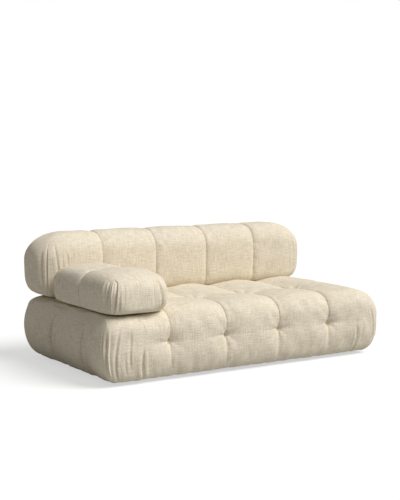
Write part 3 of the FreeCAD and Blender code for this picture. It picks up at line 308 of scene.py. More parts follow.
def slub_cloth(finish):
    """Slub linen-blend upholstery, plain woven: matte, with uneven threads both ways, a soft halo and painted
    shade in its folds.
    """
    material, tree = new_material(CLOTH)
    uv = add(tree, "ShaderNodeUVMap", uv_map=THREAD_UV).outputs["UV"]

    def streaks(length_mm, along_u):
        """Uneven threads of one drawn width, of about the given length."""
        along = 1 / (length_mm * MM)
        across = 1 / (finish.thread_mm * MM)
        scale = (along, across, 1.0) if along_u else (across, along, 1.0)
        mapped = add(tree, "ShaderNodeMapping", {"Vector": uv, "Scale": scale})
        noise = add(tree, "ShaderNodeTexNoise", {"Vector": mapped.outputs["Vector"], "Scale": 1.0,
                                                 "Detail": 1.0, "Roughness": 0.6}, noise_dimensions="2D")
        return noise.outputs["Fac"]

    # Real threads are under 1 mm apart, too fine to show, so slubs are drawn several threads wide.
    weft = streaks(SLUB_MM, True)
    warp = streaks(SLUB_MM, False)
    fleck = streaks(FLECK_MM, True)
    both = add(tree, "ShaderNodeMath", {0: weft, 1: warp}, operation="ADD")
    mixed = add(tree, "ShaderNodeMath", {0: both.outputs[0], 1: fleck}, operation="ADD")
    # The three noises together lie about 1.5, and seldom more than 0.5 away from it.
    spread = add(tree, "ShaderNodeMapRange", {"Value": mixed.outputs[0], "From Min": 1.0, "From Max": 2.0})
    stops = ((0.0, finish.cloth_dark), (0.5, finish.cloth), (1.0, finish.cloth_light))
    threads = add(tree, "ShaderNodeValToRGB", {"Fac": spread.outputs[0]}, stops)
    # Painted shade: cloth drawn into a seam, a tuft or a pleat is coloured deeper and warmer.
    drawn = add(tree, "ShaderNodeAttribute", attribute_name=CREASE_SHADE_MASK).outputs["Fac"]
    shade = to_linear(finish.painted_fold_shade)
    with_painted_shade = add(tree, "ShaderNodeMix", {0: drawn, 6: threads.outputs["Color"], 7: shade}, data_type="RGBA",
                 blend_type="MULTIPLY")
    finish_surface(tree, with_painted_shade.outputs[2], mixed.outputs[0], THREAD_BUMP_MM, Roughness=0.95,
                   Specular_IOR_Level=0.1, Sheen_Weight=0.08, Sheen_Roughness=0.5,
                   Sheen_Tint=to_linear("#FFF6E6"))
    return material


def plain_grain(name, dark, light, scale_mm, bump_mm, roughness, metallic=0.0):
    """A surface with fine, even grain: moulded, plated or felted."""
    material, tree = new_material(name)
    place = add(tree, "ShaderNodeTexCoord").outputs["Object"]
    noise = add(tree, "ShaderNodeTexNoise", {"Vector": place, "Scale": 1 / (scale_mm * MM), "Detail": 3.0})
    colour = add(tree, "ShaderNodeValToRGB", {"Fac": noise.outputs["Fac"]}, ((0.3, dark), (0.7, light)))
    finish_surface(tree, colour.outputs["Color"], noise.outputs["Fac"], bump_mm, Roughness=roughness,
                   Metallic=metallic)
    return material


def sawn_wood(name, dark, light, ring_mm, axis):
    """Planed softwood or veneer: growth rings cut lengthwise, so dark lines run along the board."""
    material, tree = new_material(name)
    place = add(tree, "ShaderNodeTexCoord").outputs["Object"]
    stretch = [GRAIN_ALONG if along == axis else 1.0 for along in range(3)]
    mapped = add(tree, "ShaderNodeMapping", {"Vector": place, "Scale": stretch})
    # At a scale of 1 the diagonal wave repeats every 2 pi / 10 metres across the board.
    scale = 2 * math.pi / 10 / (ring_mm * MM)
    wave = add(tree, "ShaderNodeTexWave", {"Vector": mapped.outputs["Vector"], "Scale": scale,
                                           "Distortion": 6.0, "Detail": 3.0, "Detail Scale": 0.25},
               bands_direction="DIAGONAL")
    stops = ((0.0, light), (0.75, light), (1.0, dark))
    colour = add(tree, "ShaderNodeValToRGB", {"Fac": wave.outputs["Fac"]}, stops)
    finish_surface(tree, colour.outputs["Color"], wave.outputs["Fac"], 0.15, Roughness=0.6)
    return material


def hidden_materials():
    """Materials of the pieces under the covers, by the record's slot, and for wood by the grain's axis."""
    ways = list(enumerate("xyz"))
    pine = ("#A9793F", "#D9B27C", 9.0)
    birch = ("#B98F58", "#DDBE8E", 16.0)
    return {
        # Open-cell foam, block cut: pale, dull, with fine pores.
        "foam": plain_grain("open_cell_foam", "#D9CFA8", "#EFE7C8", 2.5, 0.5, 0.95),
        # Planed pine: warm and pale, with darker late wood.
        "timber": [sawn_wood("planed_pine_" + way, *pine, axis) for axis, way in ways],
        # Birch plywood: pale, with a broad flat figure.
        "plywood": [sawn_wood("birch_plywood_" + way, *birch, axis) for axis, way in ways],
        # Non-woven polypropylene dust cloth: black and felted.
        "dust_cloth": plain_grain("felted_dust_cloth", "#0C0C0C", "#1C1C1B", 1.5, 0.2, 0.9),
        # Bright zinc plate on pressed steel: a cool grey with a faint spangle.
        "zinc_steel": plain_grain("zinc_plated_steel", "#A9ACAF", "#C4C7C9", 3.0, 0.02, 0.32, 1.0),
        # Moulded polypropylene glide: black, slightly glossy.
        "glide_plastic": plain_grain("moulded_polypropylene", "#0E0E0E", "#171717", 0.8, 0.03, 0.45),
        # Waxed tufting twine: cream, twisted.
        "tie_cord": plain_grain("waxed_tufting_twine", "#C9B995", "#E2D6BC", 1.2, 0.2, 0.7),
        # Moulded nylon washer: off-white, satin.
        "anchor_plastic": plain_grain("moulded_nylon", "#CFCFC8", "#E4E4DE", 1.0, 0.03, 0.5),
    }


# Meshes of the padded pieces

def graded_lines(stops, steps, gather=0.4):
    """Grid lines between stops, by the step of each run and closer together near each stop."""
    lines = [stops[0]]
    for start, end, step in zip(stops, stops[1:], steps):
        count = max(2, round((end - start) / step))
        even = np.arange(1, count + 1) / count
        eased = (1 - np.cos(np.pi * even)) / 2
        lines.extend(start + (end - start) * ((1 - gather) * even + gather * eased))
    return np.array(lines)


def block_grid(lines):
    """Closed skin of a block on the given grid lines: places, faces, and the side each face lies on."""
    counts = [len(axis) for axis in lines]
    index = {}
    places = []

    def corner(key):
        """Number of the point at a place of the grid, added the first time."""
        if key not in index:
            index[key] = len(places)
            places.append([lines[a][key[a]] for a in range(3)])
        return index[key]

    faces = []
    sides = []
    for axis in range(3):
        u, v = (axis + 1) % 3, (axis + 2) % 3
        for end in (0, counts[axis] - 1):
            for i in range(counts[u] - 1):
                for j in range(counts[v] - 1):
                    ring = []
                    for di, dj in ((0, 0), (1, 0), (1, 1), (0, 1)):
                        key = [0, 0, 0]
                        key[axis], key[u], key[v] = end, i + di, j + dj
                        ring.append(corner(tuple(key)))
                    faces.append(ring if end else ring[::-1])
                    sides.append((axis, 1 if end else -1))
    return np.array(places), faces, sides


def round_block(places, low, high, radii_low, radii_high):
    """Rounds a block's edges by its own radius on each side, and gives each point's outward direction."""
    inner = np.clip(places, low + radii_low, high - radii_high)
    off = places - inner
    radii = np.where(off > 0, radii_high, radii_low)
    away = off / radii
    away /= np.linalg.norm(away, axis=1, keepdims=True)
    normals = away / radii
    normals /= np.linalg.norm(normals, axis=1, keepdims=True)
    return inner + radii * away, normals


def draw_in_below(points, low, high, height, draw):
    """Draws a block in towards its bottom, by the given distances along its length and depth."""
    share = np.clip((height - points[:, 2]) / (height - low[2]), 0, 1) ** 2
    middle = (low + high) / 2
    half = (high - low) / 2
    drawn = points.copy()
    for axis in (0, 1):
        drawn[:, axis] -= (points[:, axis] - middle[axis]) / half[axis] * draw[axis] * share
    return drawn


def neighbour_pairs(faces):
    """Each point beside each of its neighbours, as pairs of point numbers."""
    return np.array([(f[k], f[(k + 1) % len(f)]) for f in faces for k in range(len(f))])


def relax(points, pairs, share, rounds=12):
    """Evens points out between their neighbours, by the given share of each."""
    count = np.bincount(pairs[:, 0], minlength=len(points))[:, None]
    for _ in range(rounds):
        total = np.zeros_like(points)
        np.add.at(total, pairs[:, 0], points[pairs[:, 1]])
        points = points + share[:, None] * (total / count - points)
    return points


def settle_on_solid(node, points, normals, pairs, start=0.06, reach=0.125):
    """Lays points on a node's outer surface along their own directions, and bridges its small holes.

    A ray goes in from start outside each point to reach inside it.
    """
    source = frame["nodes"][node].data
    tree = BVHTree.FromPolygons([v.co for v in source.vertices], [p.vertices for p in source.polygons])
    depth = np.full(len(points), np.nan)
    for i, (point, normal) in enumerate(zip(points, normals)):
        hit = tree.ray_cast(Vector(point + normal * start), Vector(-normal), start + reach)
        if hit[0] is not None:
            depth[i] = hit[3] - start
    missing = np.isnan(depth)
    filled = np.where(missing, 0.0, depth)
    known = ~missing
    while not known.all():
        total = np.zeros(len(points))
        weight = np.zeros(len(points))
        usable = known[pairs[:, 1]]
        np.add.at(total, pairs[usable, 0], filled[pairs[usable, 1]])
        np.add.at(weight, pairs[usable, 0], 1)
        reached = ~known & (weight > 0)
        filled[reached] = total[reached] / weight[reached]
        known = known | reached
    return points - normals * filled[:, None]


def thread_coordinates(places, low, high, faces, sides):
    """Where each face corner lies on the cloth: along the piece and around it, in metres."""
    size = high - low
    coordinates = []
    for face, (axis, end) in zip(faces, sides):
        for x, y, z in places[face]:
            if axis == 0:
                run = low[0] - (y - low[1]) if end < 0 else high[0] + (y - low[1])
                coordinates.append((run, z))
            elif axis == 1:
                coordinates.append((x, z if end < 0 else 2 * high[2] + size[1] - z))
            else:
                coordinates.append((x, high[2] + (y - low[1]) if end > 0 else low[2] - (y - low[1])))
    return np.array(coordinates)


def cloth_object(name, node, grid, radii_low, radii_high, draw=(0.0, 0.0)):
    """A padded piece on the place of its solid: a fine rounded skin laid on the solid's outer surface."""
    low, high = (np.array(corner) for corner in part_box(node))
    lines = [graded_lines(*axis) for axis in grid(low, high)]
    places, faces, sides = block_grid(lines)
    rounded, normals = round_block(places, low, high, np.array(radii_low), np.array(radii_high))
    rounded = draw_in_below(rounded, low, high, (low[2] + high[2]) / 2, draw)
    pairs = neighbour_pairs(faces)
    points = settle_on_solid(node, rounded, normals, pairs)
    points = relax(points, pairs, EVEN_SHARE * (1 - band(points[:, 2], low[2], EVEN_RISE)))
    mesh = bpy.data.meshes.new(name)
    mesh.from_pydata([tuple(p) for p in points], [], faces)
    layer = mesh.uv_layers.new(name=THREAD_UV)
    layer.data.foreach_set("uv", thread_coordinates(places, low, high, faces, sides).ravel())
    attribute = mesh.attributes.new(BLOCK_PLACE, "FLOAT_VECTOR", "POINT")
    attribute.data.foreach_set("vector", places.ravel())
    piece = bpy.data.objects.new(name, mesh)
    bpy.context.scene.collection.objects.link(piece)
    return piece


def read_places(mesh):
    """Vertex positions and block places as arrays."""
    points = np.empty(len(mesh.vertices) * 3)
    mesh.vertices.foreach_get("co", points)
    places = np.empty(len(mesh.vertices) * 3)
    mesh.attributes[BLOCK_PLACE].data.foreach_get("vector", places)
    return points.reshape(-1, 3), places.reshape(-1, 3)


def vertex_normals(mesh):
    """Outward directions of the vertices as an array."""
    normals = np.empty(len(mesh.vertices) * 3)
    mesh.vertices.foreach_get("normal", normals)
    return normals.reshape(-1, 3)


def write_points(mesh, points):
    """Moves the vertices to the given points."""
    mesh.vertices.foreach_set("co", points.ravel())
    mesh.update()


def sew(mesh, points, out):
    """Pushes the cloth out or in along its own directions, and keeps how far it is drawn in, for painted
    shade.
    """
    write_points(mesh, points + vertex_normals(mesh) * out[:, None])
    drawn = mesh.attributes.new(CREASE_SHADE_MASK, "FLOAT", "POINT")
    drawn.data.foreach_set("value", np.clip(-out / CREASE_SHADE_FULL_DEPTH, 0, 1))


def fill_with_cloth(piece, held, ease, form):
    """Lets the filling push the cloth out between its seams, by a cloth simulation with the seams held.

    The move is scaled by ease, which is 0 where the piece rests on something.
    """
    mesh = piece.data
    before, _ = read_places(mesh)
    group = piece.vertex_groups.new(name="sewn")
    group.add(np.nonzero(held)[0].tolist(), 1.0, "REPLACE")
    cloth = piece.modifiers.new("filling", "CLOTH")
    settings = cloth.settings
    settings.quality = 4
    settings.mass = 0.3
    settings.tension_stiffness = 25
    settings.compression_stiffness = 12
    settings.shear_stiffness = 8
    settings.bending_stiffness = 0.6
    settings.air_damping = 4
    settings.use_pressure = True
    settings.uniform_pressure_force = form.pressure
    settings.shrink_min = -form.slack
    settings.vertex_group_mass = group.name
    settings.pin_stiffness = 1.0
    settings.effector_weights.gravity = 0
    cloth.collision_settings.use_collision = False
    cloth.point_cache.frame_start = 1
    cloth.point_cache.frame_end = form.frames
    scene = bpy.context.scene
    for number in range(1, form.frames + 1):
        scene.frame_set(number)
    evaluated = piece.evaluated_get(bpy.context.evaluated_depsgraph_get())
    after = np.empty(len(mesh.vertices) * 3)
    evaluated.data.vertices.foreach_get("co", after)
    move = after.reshape(-1, 3) - before
    length = np.linalg.norm(move, axis=1)
    limited = form.swell * np.tanh(length / form.swell)
    move *= (ease * limited / np.maximum(length, TINY))[:, None]
    piece.modifiers.remove(cloth)
    piece.vertex_groups.remove(group)
    scene.frame_set(1)
    write_points(mesh, before + move)


def make_real(piece, kind, **settings):
    """Adds a modifier, and makes its result the piece's own mesh, smoothly shaded."""
    modifier = piece.modifiers.new("made_real", kind)
    for name, value in settings.items():
        setattr(modifier, name, value)
    graph = bpy.context.evaluated_depsgraph_get()
    evaluated = piece.evaluated_get(graph)
    finer = bpy.data.meshes.new_from_object(evaluated, preserve_all_data_layers=True, depsgraph=graph)
    piece.modifiers.clear()
    old = piece.data
    piece.data = finer
    bpy.data.meshes.remove(old)
    finer.name = piece.name
    finer.polygons.foreach_set("use_smooth", [True] * len(finer.polygons))


def fill_out(piece, held, ease, form):
    """Fills a cover, makes its mesh finer, and gives its points and block places."""
    fill_with_cloth(piece, held, ease, form)
    make_real(piece, "SUBSURF", levels=1)
    return read_places(piece.data)


def bell(distance, width):
    """A soft bump of height 1."""
    return np.exp(-(distance / width) ** 2)


def smooth_step(value, start, end):
    """0 before start, 1 after end, and smooth between."""
    share = np.clip((value - start) / (end - start), 0, 1)
    return share * share * (3 - 2 * share)


def band(value, origin, limits):
    """0 before a band, 1 after it, and smooth between: its limits are counted from an origin."""
    return smooth_step(value, origin + limits[0], origin + limits[1])


def ripple(run, pitch, phase):
    """An uneven wave along a line."""
    turn = 2 * np.pi * run / pitch
    return sum(share * np.sin(rate * turn + shift * phase) for share, rate, shift in RIPPLE_SINES) / 2


def drape_noise(points, size, seed):
    """Slow unevenness of stretched cloth over its filling, about 1 high."""
    total = np.zeros(len(points))
    # The factors only make the waves differ in direction and length.
    for k in range(DRAPE_WAVES):
        way = np.array([math.cos(1.9 * k + seed), math.sin(2.7 * k + 1.3 * seed), math.cos(0.8 * k - seed)])
        way /= np.linalg.norm(way)
        total += np.sin(points @ way * (2 * np.pi / size) * (1 + 0.31 * k) + 1.7 * k * seed)
    return total * 2 / DRAPE_WAVES


def seam_profile(distance, run, form, phase):
    """A sewn seam across and along its line: a narrow crease, full shoulders beside it, and small gathers."""
    away = np.abs(distance)
    crease = -form.seam_depth * bell(away, form.seam_width)
    reach = away / form.shoulder_reach
    shoulder = form.shoulder * reach * np.exp(1 - reach)
    wave = ripple(run, form.pucker_pitch, phase + np.sign(distance))
    gathers = form.pucker * wave * np.exp(-away / GATHER_REACH)
    return crease + shoulder + gathers * (1 - bell(away, form.seam_width))


def tuft_profile(across, along, form, phase, fold, reach):
    """A tuft about its point: a deep narrow pinch with small folds that run out from it."""
    away = np.hypot(across, along)
    angle = np.arctan2(along, across)
    folds = fold * np.cos(TUFT_FOLD_COUNT * angle + phase) * (away / reach) * np.exp(1 - away / reach)
    return -form.tuft_depth * bell(away, form.tuft_width) + folds


def corner_run(places, low, high, side):
    """Distance from the nearer upright corner at one end: along the face, or below 0 back along the end."""
    along = places[:, 0] - low[0] if side < 0 else high[0] - places[:, 0]
    back = np.minimum(places[:, 1] - low[1], high[1] - places[:, 1])
    return np.where(along > back, along, -back)


def pleat_profile(run, height, pleats):
    """Gathered folds: each a crease, steeper on one side, that fades out at its two ends."""
    out = np.zeros(len(run))
    for place, top, bottom, lean, depth, width in pleats:
        share = (top - height) / (top - bottom)
        fade = smooth_step(share, *PLEAT_FADE_IN) * (1 - smooth_step(share, *PLEAT_FADE_OUT))
        off = run - place - lean * np.clip(share, 0, 1)
        span = np.where(off > 0, PLEAT_STEEP, PLEAT_SLACK) * width
        lip = LIP_HEIGHT * bell(np.abs(off) - LIP_PLACE * span, LIP_WIDTH * span)
        out += depth * fade * (lip - bell(off, span))
    return out


def corner_pleats(points, places, low, high, left, right):
    """The gathered folds at a piece's left and right ends."""
    height = points[:, 2]
    at_left = pleat_profile(corner_run(places, low, high, -1), height, left)
    return at_left + pleat_profile(corner_run(places, low, high, 1), height, right)


def dress(context, piece, body, *nodes):
    """Puts the cloth on a padded piece, and says which body it rides on and which solids it stands for."""
    piece.data.materials.clear()
    piece.data.materials.append(cloth_material(context))
    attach(piece, body)
    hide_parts(*nodes)


def top_face(places, high):
    """1 on the top of a block, 0 below its upper edge."""
    return band(places[:, 2], high[2], TOP_BAND)


def channel_places(form):
    """Where the channels lie along the length."""
    return [(i - (CHANNEL_COUNT - 1) / 2) * form.bay_pitch for i in range(CHANNEL_COUNT)]


def bay_lines(low, high, fine_end, channels, form):
    """Stops and steps of a mesh along the length: finer ends, and a line on each channel."""
    stops = [low[0], low[0] + fine_end, *channels, high[0] - fine_end, high[0]]
    return stops, [form.fine_step] + [form.mesh_step] * (CHANNEL_COUNT + 1) + [form.fine_step]


def on_channel(places, channels):
    """Which points lie on the line of a channel."""
    return np.min([np.abs(places[:, 0] - x) for x in channels], axis=0) < ON_LINE


def cloth_material(context):
    """The cloth that all three covers share, made the first time."""
    return bpy.data.materials.get(CLOTH) or slub_cloth(context.scene.sofa_finish)


# Operators

class SOFA_OT_seat_block(bpy.types.Operator):
    """Makes the tufted seat block"""
    bl_idname = "sofa.seat_block"
    bl_label = "Seat block"

    # Edge radii of the skin that is laid on the solid, how far it is drawn in at the bottom, and the widths
    # of its finely meshed strips.
    RADII_LOW = (0.09, 0.08, 0.012)
    RADII_HIGH = (0.10, 0.09, 0.09)
    DRAW = (0.055, 0.03)
    FINE_END = 0.25
    FINE_SIDE = 0.14
    # The filling leaves the cloth still under the back and the arm and near the bottom, pushes less beside
    # them, and hardly at all towards the two ends.
    UNDER_BACK = 0.01
    UNDER_ARM = 0.005
    HELD_BELOW = 0.02
    FILL_RISE = (0.01, 0.12)
    BACK_BAND = (-0.08, 0.0)
    ARM_BAND = (-0.03, 0.0)
    END_BAND = (-0.22, -0.10)
    END_LOSS = 0.9
    # The front face, counted from the foremost point, and the rear of the top, counted from its row of tufts.
    FRONT_BAND = (0.05, 0.12)
    REAR_BAND = (0.06, 0.26)
    # The seams are weaker below the front tufts and towards the back, and end above the bottom.
    TUFT_BAND = (-0.03, 0.01)
    LOW_LOSS = 0.65
    REAR_LOSS = 0.8
    SEAM_RISE = (0.012, 0.06)
    # Height and reach of the small folds round a tuft.
    FRONT_FOLDS = (0.0010, 0.03)
    TOP_FOLDS = (0.0030, 0.04)
    # The bays rise just in front of the back, up to the open end.
    CREST_BAND = (-0.06, 0.012)
    CREST_END = (0.0, 0.06)
    # The top of the open end is filled level, between the last channel and the end: height, place behind the
    # tufts, half width.
    OPEN_START = (0.01, 0.08)
    OPEN_STOP = (-0.17, -0.06)
    OPEN_FILLS = ((0.012, 0.06, 0.15), (0.007, 0.0, 0.04))
    CREASE_BAND = (-0.10, -0.06)
    # The hem is wavy, and the underside is flat inside its rim, where the dust sheet lies.
    HEM_RISE = (0.02, 0.09)
    HEM_HEIGHT = 0.0018
    HEM_PITCH = 0.085
    FLAT_RISE = (0.0, 0.001)
    FLAT_INSIDE = (0.05, 0.10)
    DRAPE_SIZE = 0.17

    def execute(self, context):
        form = context.scene.sofa_form
        channels = channel_places(form)
        step, fine = form.mesh_step, form.fine_step

        def grid(low, high):
            """Stops and steps of the mesh along each axis."""
            depth = [low[1], low[1] + self.FINE_SIDE, form.top_row, high[1] - self.FINE_SIDE, high[1]]
            return (bay_lines(low, high, self.FINE_END, channels, form),
                    (depth, [fine, step, step, fine]),
                    ([low[2], form.front_tuft_height, high[2]], [step, step]))

        piece = cloth_object("seat_block", "seat_cover", grid, self.RADII_LOW, self.RADII_HIGH, self.DRAW)
        points, places = read_places(piece.data)
        low, high = (np.array(c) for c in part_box("seat_cover"))
        back_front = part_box("back_cover")[0][1]
        arm_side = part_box("arm_cover")[1][0]
        top = places[:, 2] > high[2] - ON_LINE
        under_back = points[:, 1] > back_front + self.UNDER_BACK
        under_arm = points[:, 0] < arm_side + self.UNDER_ARM
        held = on_channel(places, channels) | (top & (under_back | under_arm))
        held |= places[:, 2] < low[2] + self.HELD_BELOW
        ease = band(points[:, 2], low[2], self.FILL_RISE)
        ease *= 1 - top * band(points[:, 1], back_front, self.BACK_BAND)
        ease *= 1 - top * band(-points[:, 0], -arm_side, self.ARM_BAND)
        ease *= 1 - self.END_LOSS * band(np.abs(points[:, 0]), high[0], self.END_BAND)
        points, places = fill_out(piece, held, ease, form)
        out = form.drape * drape_noise(points, self.DRAPE_SIZE, 1.0)
        out += self.tufting(points, places, low, high, channels, form)
        out += self.filling(places, high, channels, back_front, form)
        out += self.gathers(points, places, low, high)
        sew(piece.data, points, out * (1 - self.underside(places, low, high)))
        dress(context, piece, "base", "seat_cover", "seat_foam", "seat_tuft_ties", "front_tuft_ties")
        return {"FINISHED"}

    def rear(self, places, high, form):
        """1 on the rear of the top, 0 from its row of tufts forward."""
        return top_face(places, high) * band(places[:, 1], form.top_row, self.REAR_BAND)

    def tufting(self, points, places, low, high, channels, form):
        """How far the seams, the tufts and the folds behind them push the cloth out or in."""
        above_tufts = points[:, 2] - form.front_tuft_height
        behind = places[:, 1] - form.top_row
        on_top = top_face(places, high)
        front = 1 - band(points[:, 1], low[1], self.FRONT_BAND)
        lower = front * (1 - smooth_step(above_tufts, *self.TUFT_BAND))
        strength = (1 - self.LOW_LOSS * lower) * (1 - self.REAR_LOSS * self.rear(places, high, form))
        strength *= band(points[:, 2], low[2], self.SEAM_RISE)
        girth = places[:, 1] + places[:, 2]
        out = np.zeros(len(points))
        for i, x in enumerate(channels):
            # The phases only keep the seams and the tufts unlike each other.
            across = places[:, 0] - x
            filled = form.seat_fill * bell(across, form.seat_fill_reach)
            out += strength * (seam_profile(across, girth, form, 1.3 * i) + filled)
            out += front * tuft_profile(across, above_tufts, form, 0.7 * i, *self.FRONT_FOLDS)
            out += on_top * tuft_profile(across, behind, form, 1.1 * i, *self.TOP_FOLDS)
            out += on_top * pleat_profile(across, behind, TUFT_FOLDS)
        return out

    def filling(self, places, high, channels, back_front, form):
        """How far the bays rise in front of the back, and the top of the open end with them."""
        along = places[:, 0]
        crest = self.rear(places, high, form) * (1 - band(places[:, 1], back_front, self.CREST_BAND))
        inside = 1 - band(along, channels[-1], self.CREST_END)
        from_middle = (along - channels[0]) / form.bay_pitch - 0.5
        rises = form.crest * crest * inside * np.cos(2 * np.pi * from_middle)
        open_end = band(along, channels[-1], self.OPEN_START) * (1 - band(along, high[0], self.OPEN_STOP))
        behind = places[:, 1] - form.top_row
        level = sum(height * bell(behind - place, width) for height, place, width in self.OPEN_FILLS)
        return rises + level * top_face(places, high) * open_end

    def gathers(self, points, places, low, high):
        """How far the pleats at the corners, the creases in the ends and the hem push the cloth out or in."""
        height = points[:, 2]
        out = corner_pleats(points, places, low, high, SEAT_LEFT_PLEATS, SEAT_RIGHT_PLEATS)
        for side, creases in ((-1, LEFT_CREASES), (1, RIGHT_CREASES)):
            end = band(side * points[:, 0], high[0], self.CREASE_BAND)
            out += end * pleat_profile(-places[:, 1], height, creases)
        hem = 1 - band(height, low[2], self.HEM_RISE)
        return out + self.HEM_HEIGHT * hem * ripple(places[:, 0] + places[:, 1], self.HEM_PITCH, 1.0)

    def underside(self, places, low, high):
        """1 on the underside where the dust sheet lies, 0 at its rim and everywhere else."""
        from_rim = np.min([places[:, :2] - low[:2], high[:2] - places[:, :2]], axis=(0, 2))
        return (1 - band(places[:, 2], low[2], self.FLAT_RISE)) * smooth_step(from_rim, *self.FLAT_INSIDE)


class SOFA_OT_back_bolster(bpy.types.Operator):
    """Makes the channelled back bolster"""
    bl_idname = "sofa.back_bolster"
    bl_label = "Back bolster"

    # Edge radii of the skin that is laid on the solid, the width of its finely meshed ends, and its mesh
    # spacing in depth.
    RADII_LOW = (0.12, 0.09, 0.08)
    RADII_HIGH = (0.12, 0.09, 0.10)
    FINE_END = 0.2
    DEPTH_STEP = 0.01
    # The filling leaves the bottom still, and pushes hardly at all towards the two ends.
    HELD_BELOW = 0.012
    FILL_RISE = (0.005, 0.09)
    END_BAND = (-0.18, -0.08)
    END_LOSS = 0.9
    # The sewing stops short of the bottom, which rests on the seat.
    SEWN_RISE = (-0.004, 0.02)
    # The part of the front that the arm passes: along the length from the arm's side, and in depth.
    ARM_LENGTH = (-0.05, 0.04)
    ARM_DEPTH = (0.05, 0.10)
    DRAPE_SIZE = 0.19

    def execute(self, context):
        form = context.scene.sofa_form
        channels = channel_places(form)

        def grid(low, high):
            """Stops and steps of the mesh along each axis."""
            return (bay_lines(low, high, self.FINE_END, channels, form),
                    ([low[1], high[1]], [self.DEPTH_STEP]),
                    ([low[2], high[2]], [form.mesh_step]))

        piece = cloth_object("back_bolster", "back_cover", grid, self.RADII_LOW, self.RADII_HIGH)
        points, places = read_places(piece.data)
        low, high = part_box("back_cover")
        held = on_channel(places, channels) | (points[:, 2] < low[2] + self.HELD_BELOW)
        ease = band(points[:, 2], low[2], self.FILL_RISE)
        ease *= 1 - self.END_LOSS * band(np.abs(points[:, 0]), high[0], self.END_BAND)
        ease *= 1 - self.beside_arm(points, low)
        points, places = fill_out(piece, held, ease, form)
        out = form.drape * drape_noise(points, self.DRAPE_SIZE, 2.0)
        girth = places[:, 1] + places[:, 2]
        for i, x in enumerate(channels):
            out += seam_profile(places[:, 0] - x, girth, form, 0.9 * i)
        out += corner_pleats(points, places, low, high, BACK_LEFT_PLEATS, BACK_RIGHT_PLEATS)
        out *= band(points[:, 2], low[2], self.SEWN_RISE)
        out -= self.beside_arm(points, low) * np.maximum(out - form.arm_room, 0)
        sew(piece.data, points, out)
        dress(context, piece, "back", "back_cover", "back_foam")
        return {"FINISHED"}

    def beside_arm(self, points, low):
        """1 on the part of the front that the arm passes when it is lifted, 0 away from it."""
        arm_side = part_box("arm_cover")[1][0]
        left = 1 - band(points[:, 0], arm_side, self.ARM_LENGTH)
        return left * (1 - band(points[:, 1], low[1], self.ARM_DEPTH))


class SOFA_OT_arm_bolster(bpy.types.Operator):
    """Makes the low arm bolster"""
    bl_idname = "sofa.arm_bolster"
    bl_label = "Arm bolster"

    # Edge radii of the skin that is laid on the solid, and the depth of its finely meshed front.
    RADII_LOW = (0.09, 0.11, 0.07)
    RADII_HIGH = (0.09, 0.05, 0.09)
    FINE_FRONT = 0.17
    # The filling leaves the bottom and the rear end still.
    HELD_BELOW = 0.012
    FILL_RISE = (0.005, 0.08)
    FILL_REAR = (-0.06, -0.02)
    # The one seam is deeper than the others, and the sewing stops short of the bottom and of the rear end.
    SEAM_SHARE = 1.4
    SEWN_RISE = (-0.004, 0.02)
    SEWN_REAR = (-0.04, -0.005)
    # The crown of the front bay comes in from this far over the bottom to this far under the top, and its
    # highest place is moved towards the seam by a power.
    CROWN_ABOVE = 0.05
    CROWN_BELOW = 0.01
    CROWN_LEAN = 0.8
    # The cloth rolls out over the seat along the outer side: its height, place over the bottom, half width.
    ROLL_BAND = (-0.14, -0.08)
    ROLL = 0.007
    ROLL_PLACE = 0.028
    ROLL_WIDTH = 0.014
    DRAPE_SIZE = 0.15

    def execute(self, context):
        form = context.scene.sofa_form
        low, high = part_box("arm_cover")
        channel = (low[1] + high[1]) / 2
        step, fine = form.mesh_step, form.fine_step

        def grid(low, high):
            """Stops and steps of the mesh along each axis."""
            return (([low[0], high[0]], [fine]),
                    ([low[1], low[1] + self.FINE_FRONT, channel, high[1]], [fine, step, step]),
                    ([low[2], high[2]], [step]))

        piece = cloth_object("arm_bolster", "arm_cover", grid, self.RADII_LOW, self.RADII_HIGH)
        points, places = read_places(piece.data)
        held = (np.abs(places[:, 1] - channel) < ON_LINE) | (points[:, 2] < low[2] + self.HELD_BELOW)
        ease = band(points[:, 2], low[2], self.FILL_RISE)
        ease *= 1 - band(points[:, 1], high[1], self.FILL_REAR)
        points, places = fill_out(piece, held, ease, form)
        height = points[:, 2]
        girth = places[:, 0] + places[:, 2]
        out = form.drape * drape_noise(points, self.DRAPE_SIZE, 3.0)
        out += self.SEAM_SHARE * seam_profile(places[:, 1] - channel, girth, form, 2.1)
        out += corner_pleats(points, places, low, high, ARM_LEFT_PLEATS, ARM_RIGHT_PLEATS)
        out *= band(height, low[2], self.SEWN_RISE)
        forward = np.clip((channel - points[:, 1]) / (channel - low[1]), 0, 1)
        upper = smooth_step(height, low[2] + self.CROWN_ABOVE, high[2] - self.CROWN_BELOW)
        out += form.arm_crown * upper * np.sin(np.pi * forward ** self.CROWN_LEAN)
        outer = 1 - band(places[:, 0], high[0], self.ROLL_BAND)
        out += self.ROLL * outer * bell(height - low[2] - self.ROLL_PLACE, self.ROLL_WIDTH)
        out *= 1 - band(points[:, 1], high[1], self.SEWN_REAR)
        sew(piece.data, points, out)
        dress(context, piece, "arm", "arm_cover", "arm_foam")
        return {"FINISHED"}


class SOFA_OT_hidden_pieces(bpy.types.Operator):
    """Gives the frame, foam and fittings under the covers their materials"""
    bl_idname = "sofa.hidden_pieces"
    bl_label = "Frame, foam and fittings"

    def execute(self, context):
        materials = hidden_materials()
        for part in frame["record"]["subparts"]:
            made = materials.get(part["material_slot"])
            if made is None:
                continue
            if isinstance(made, list):
                low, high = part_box(part["node"])
                made = made[int(np.argmax(np.subtract(high, low)))]
            mesh = frame["nodes"][part["node"]].data
            mesh.materials.clear()
            mesh.materials.append(made)
        return {"FINISHED"}


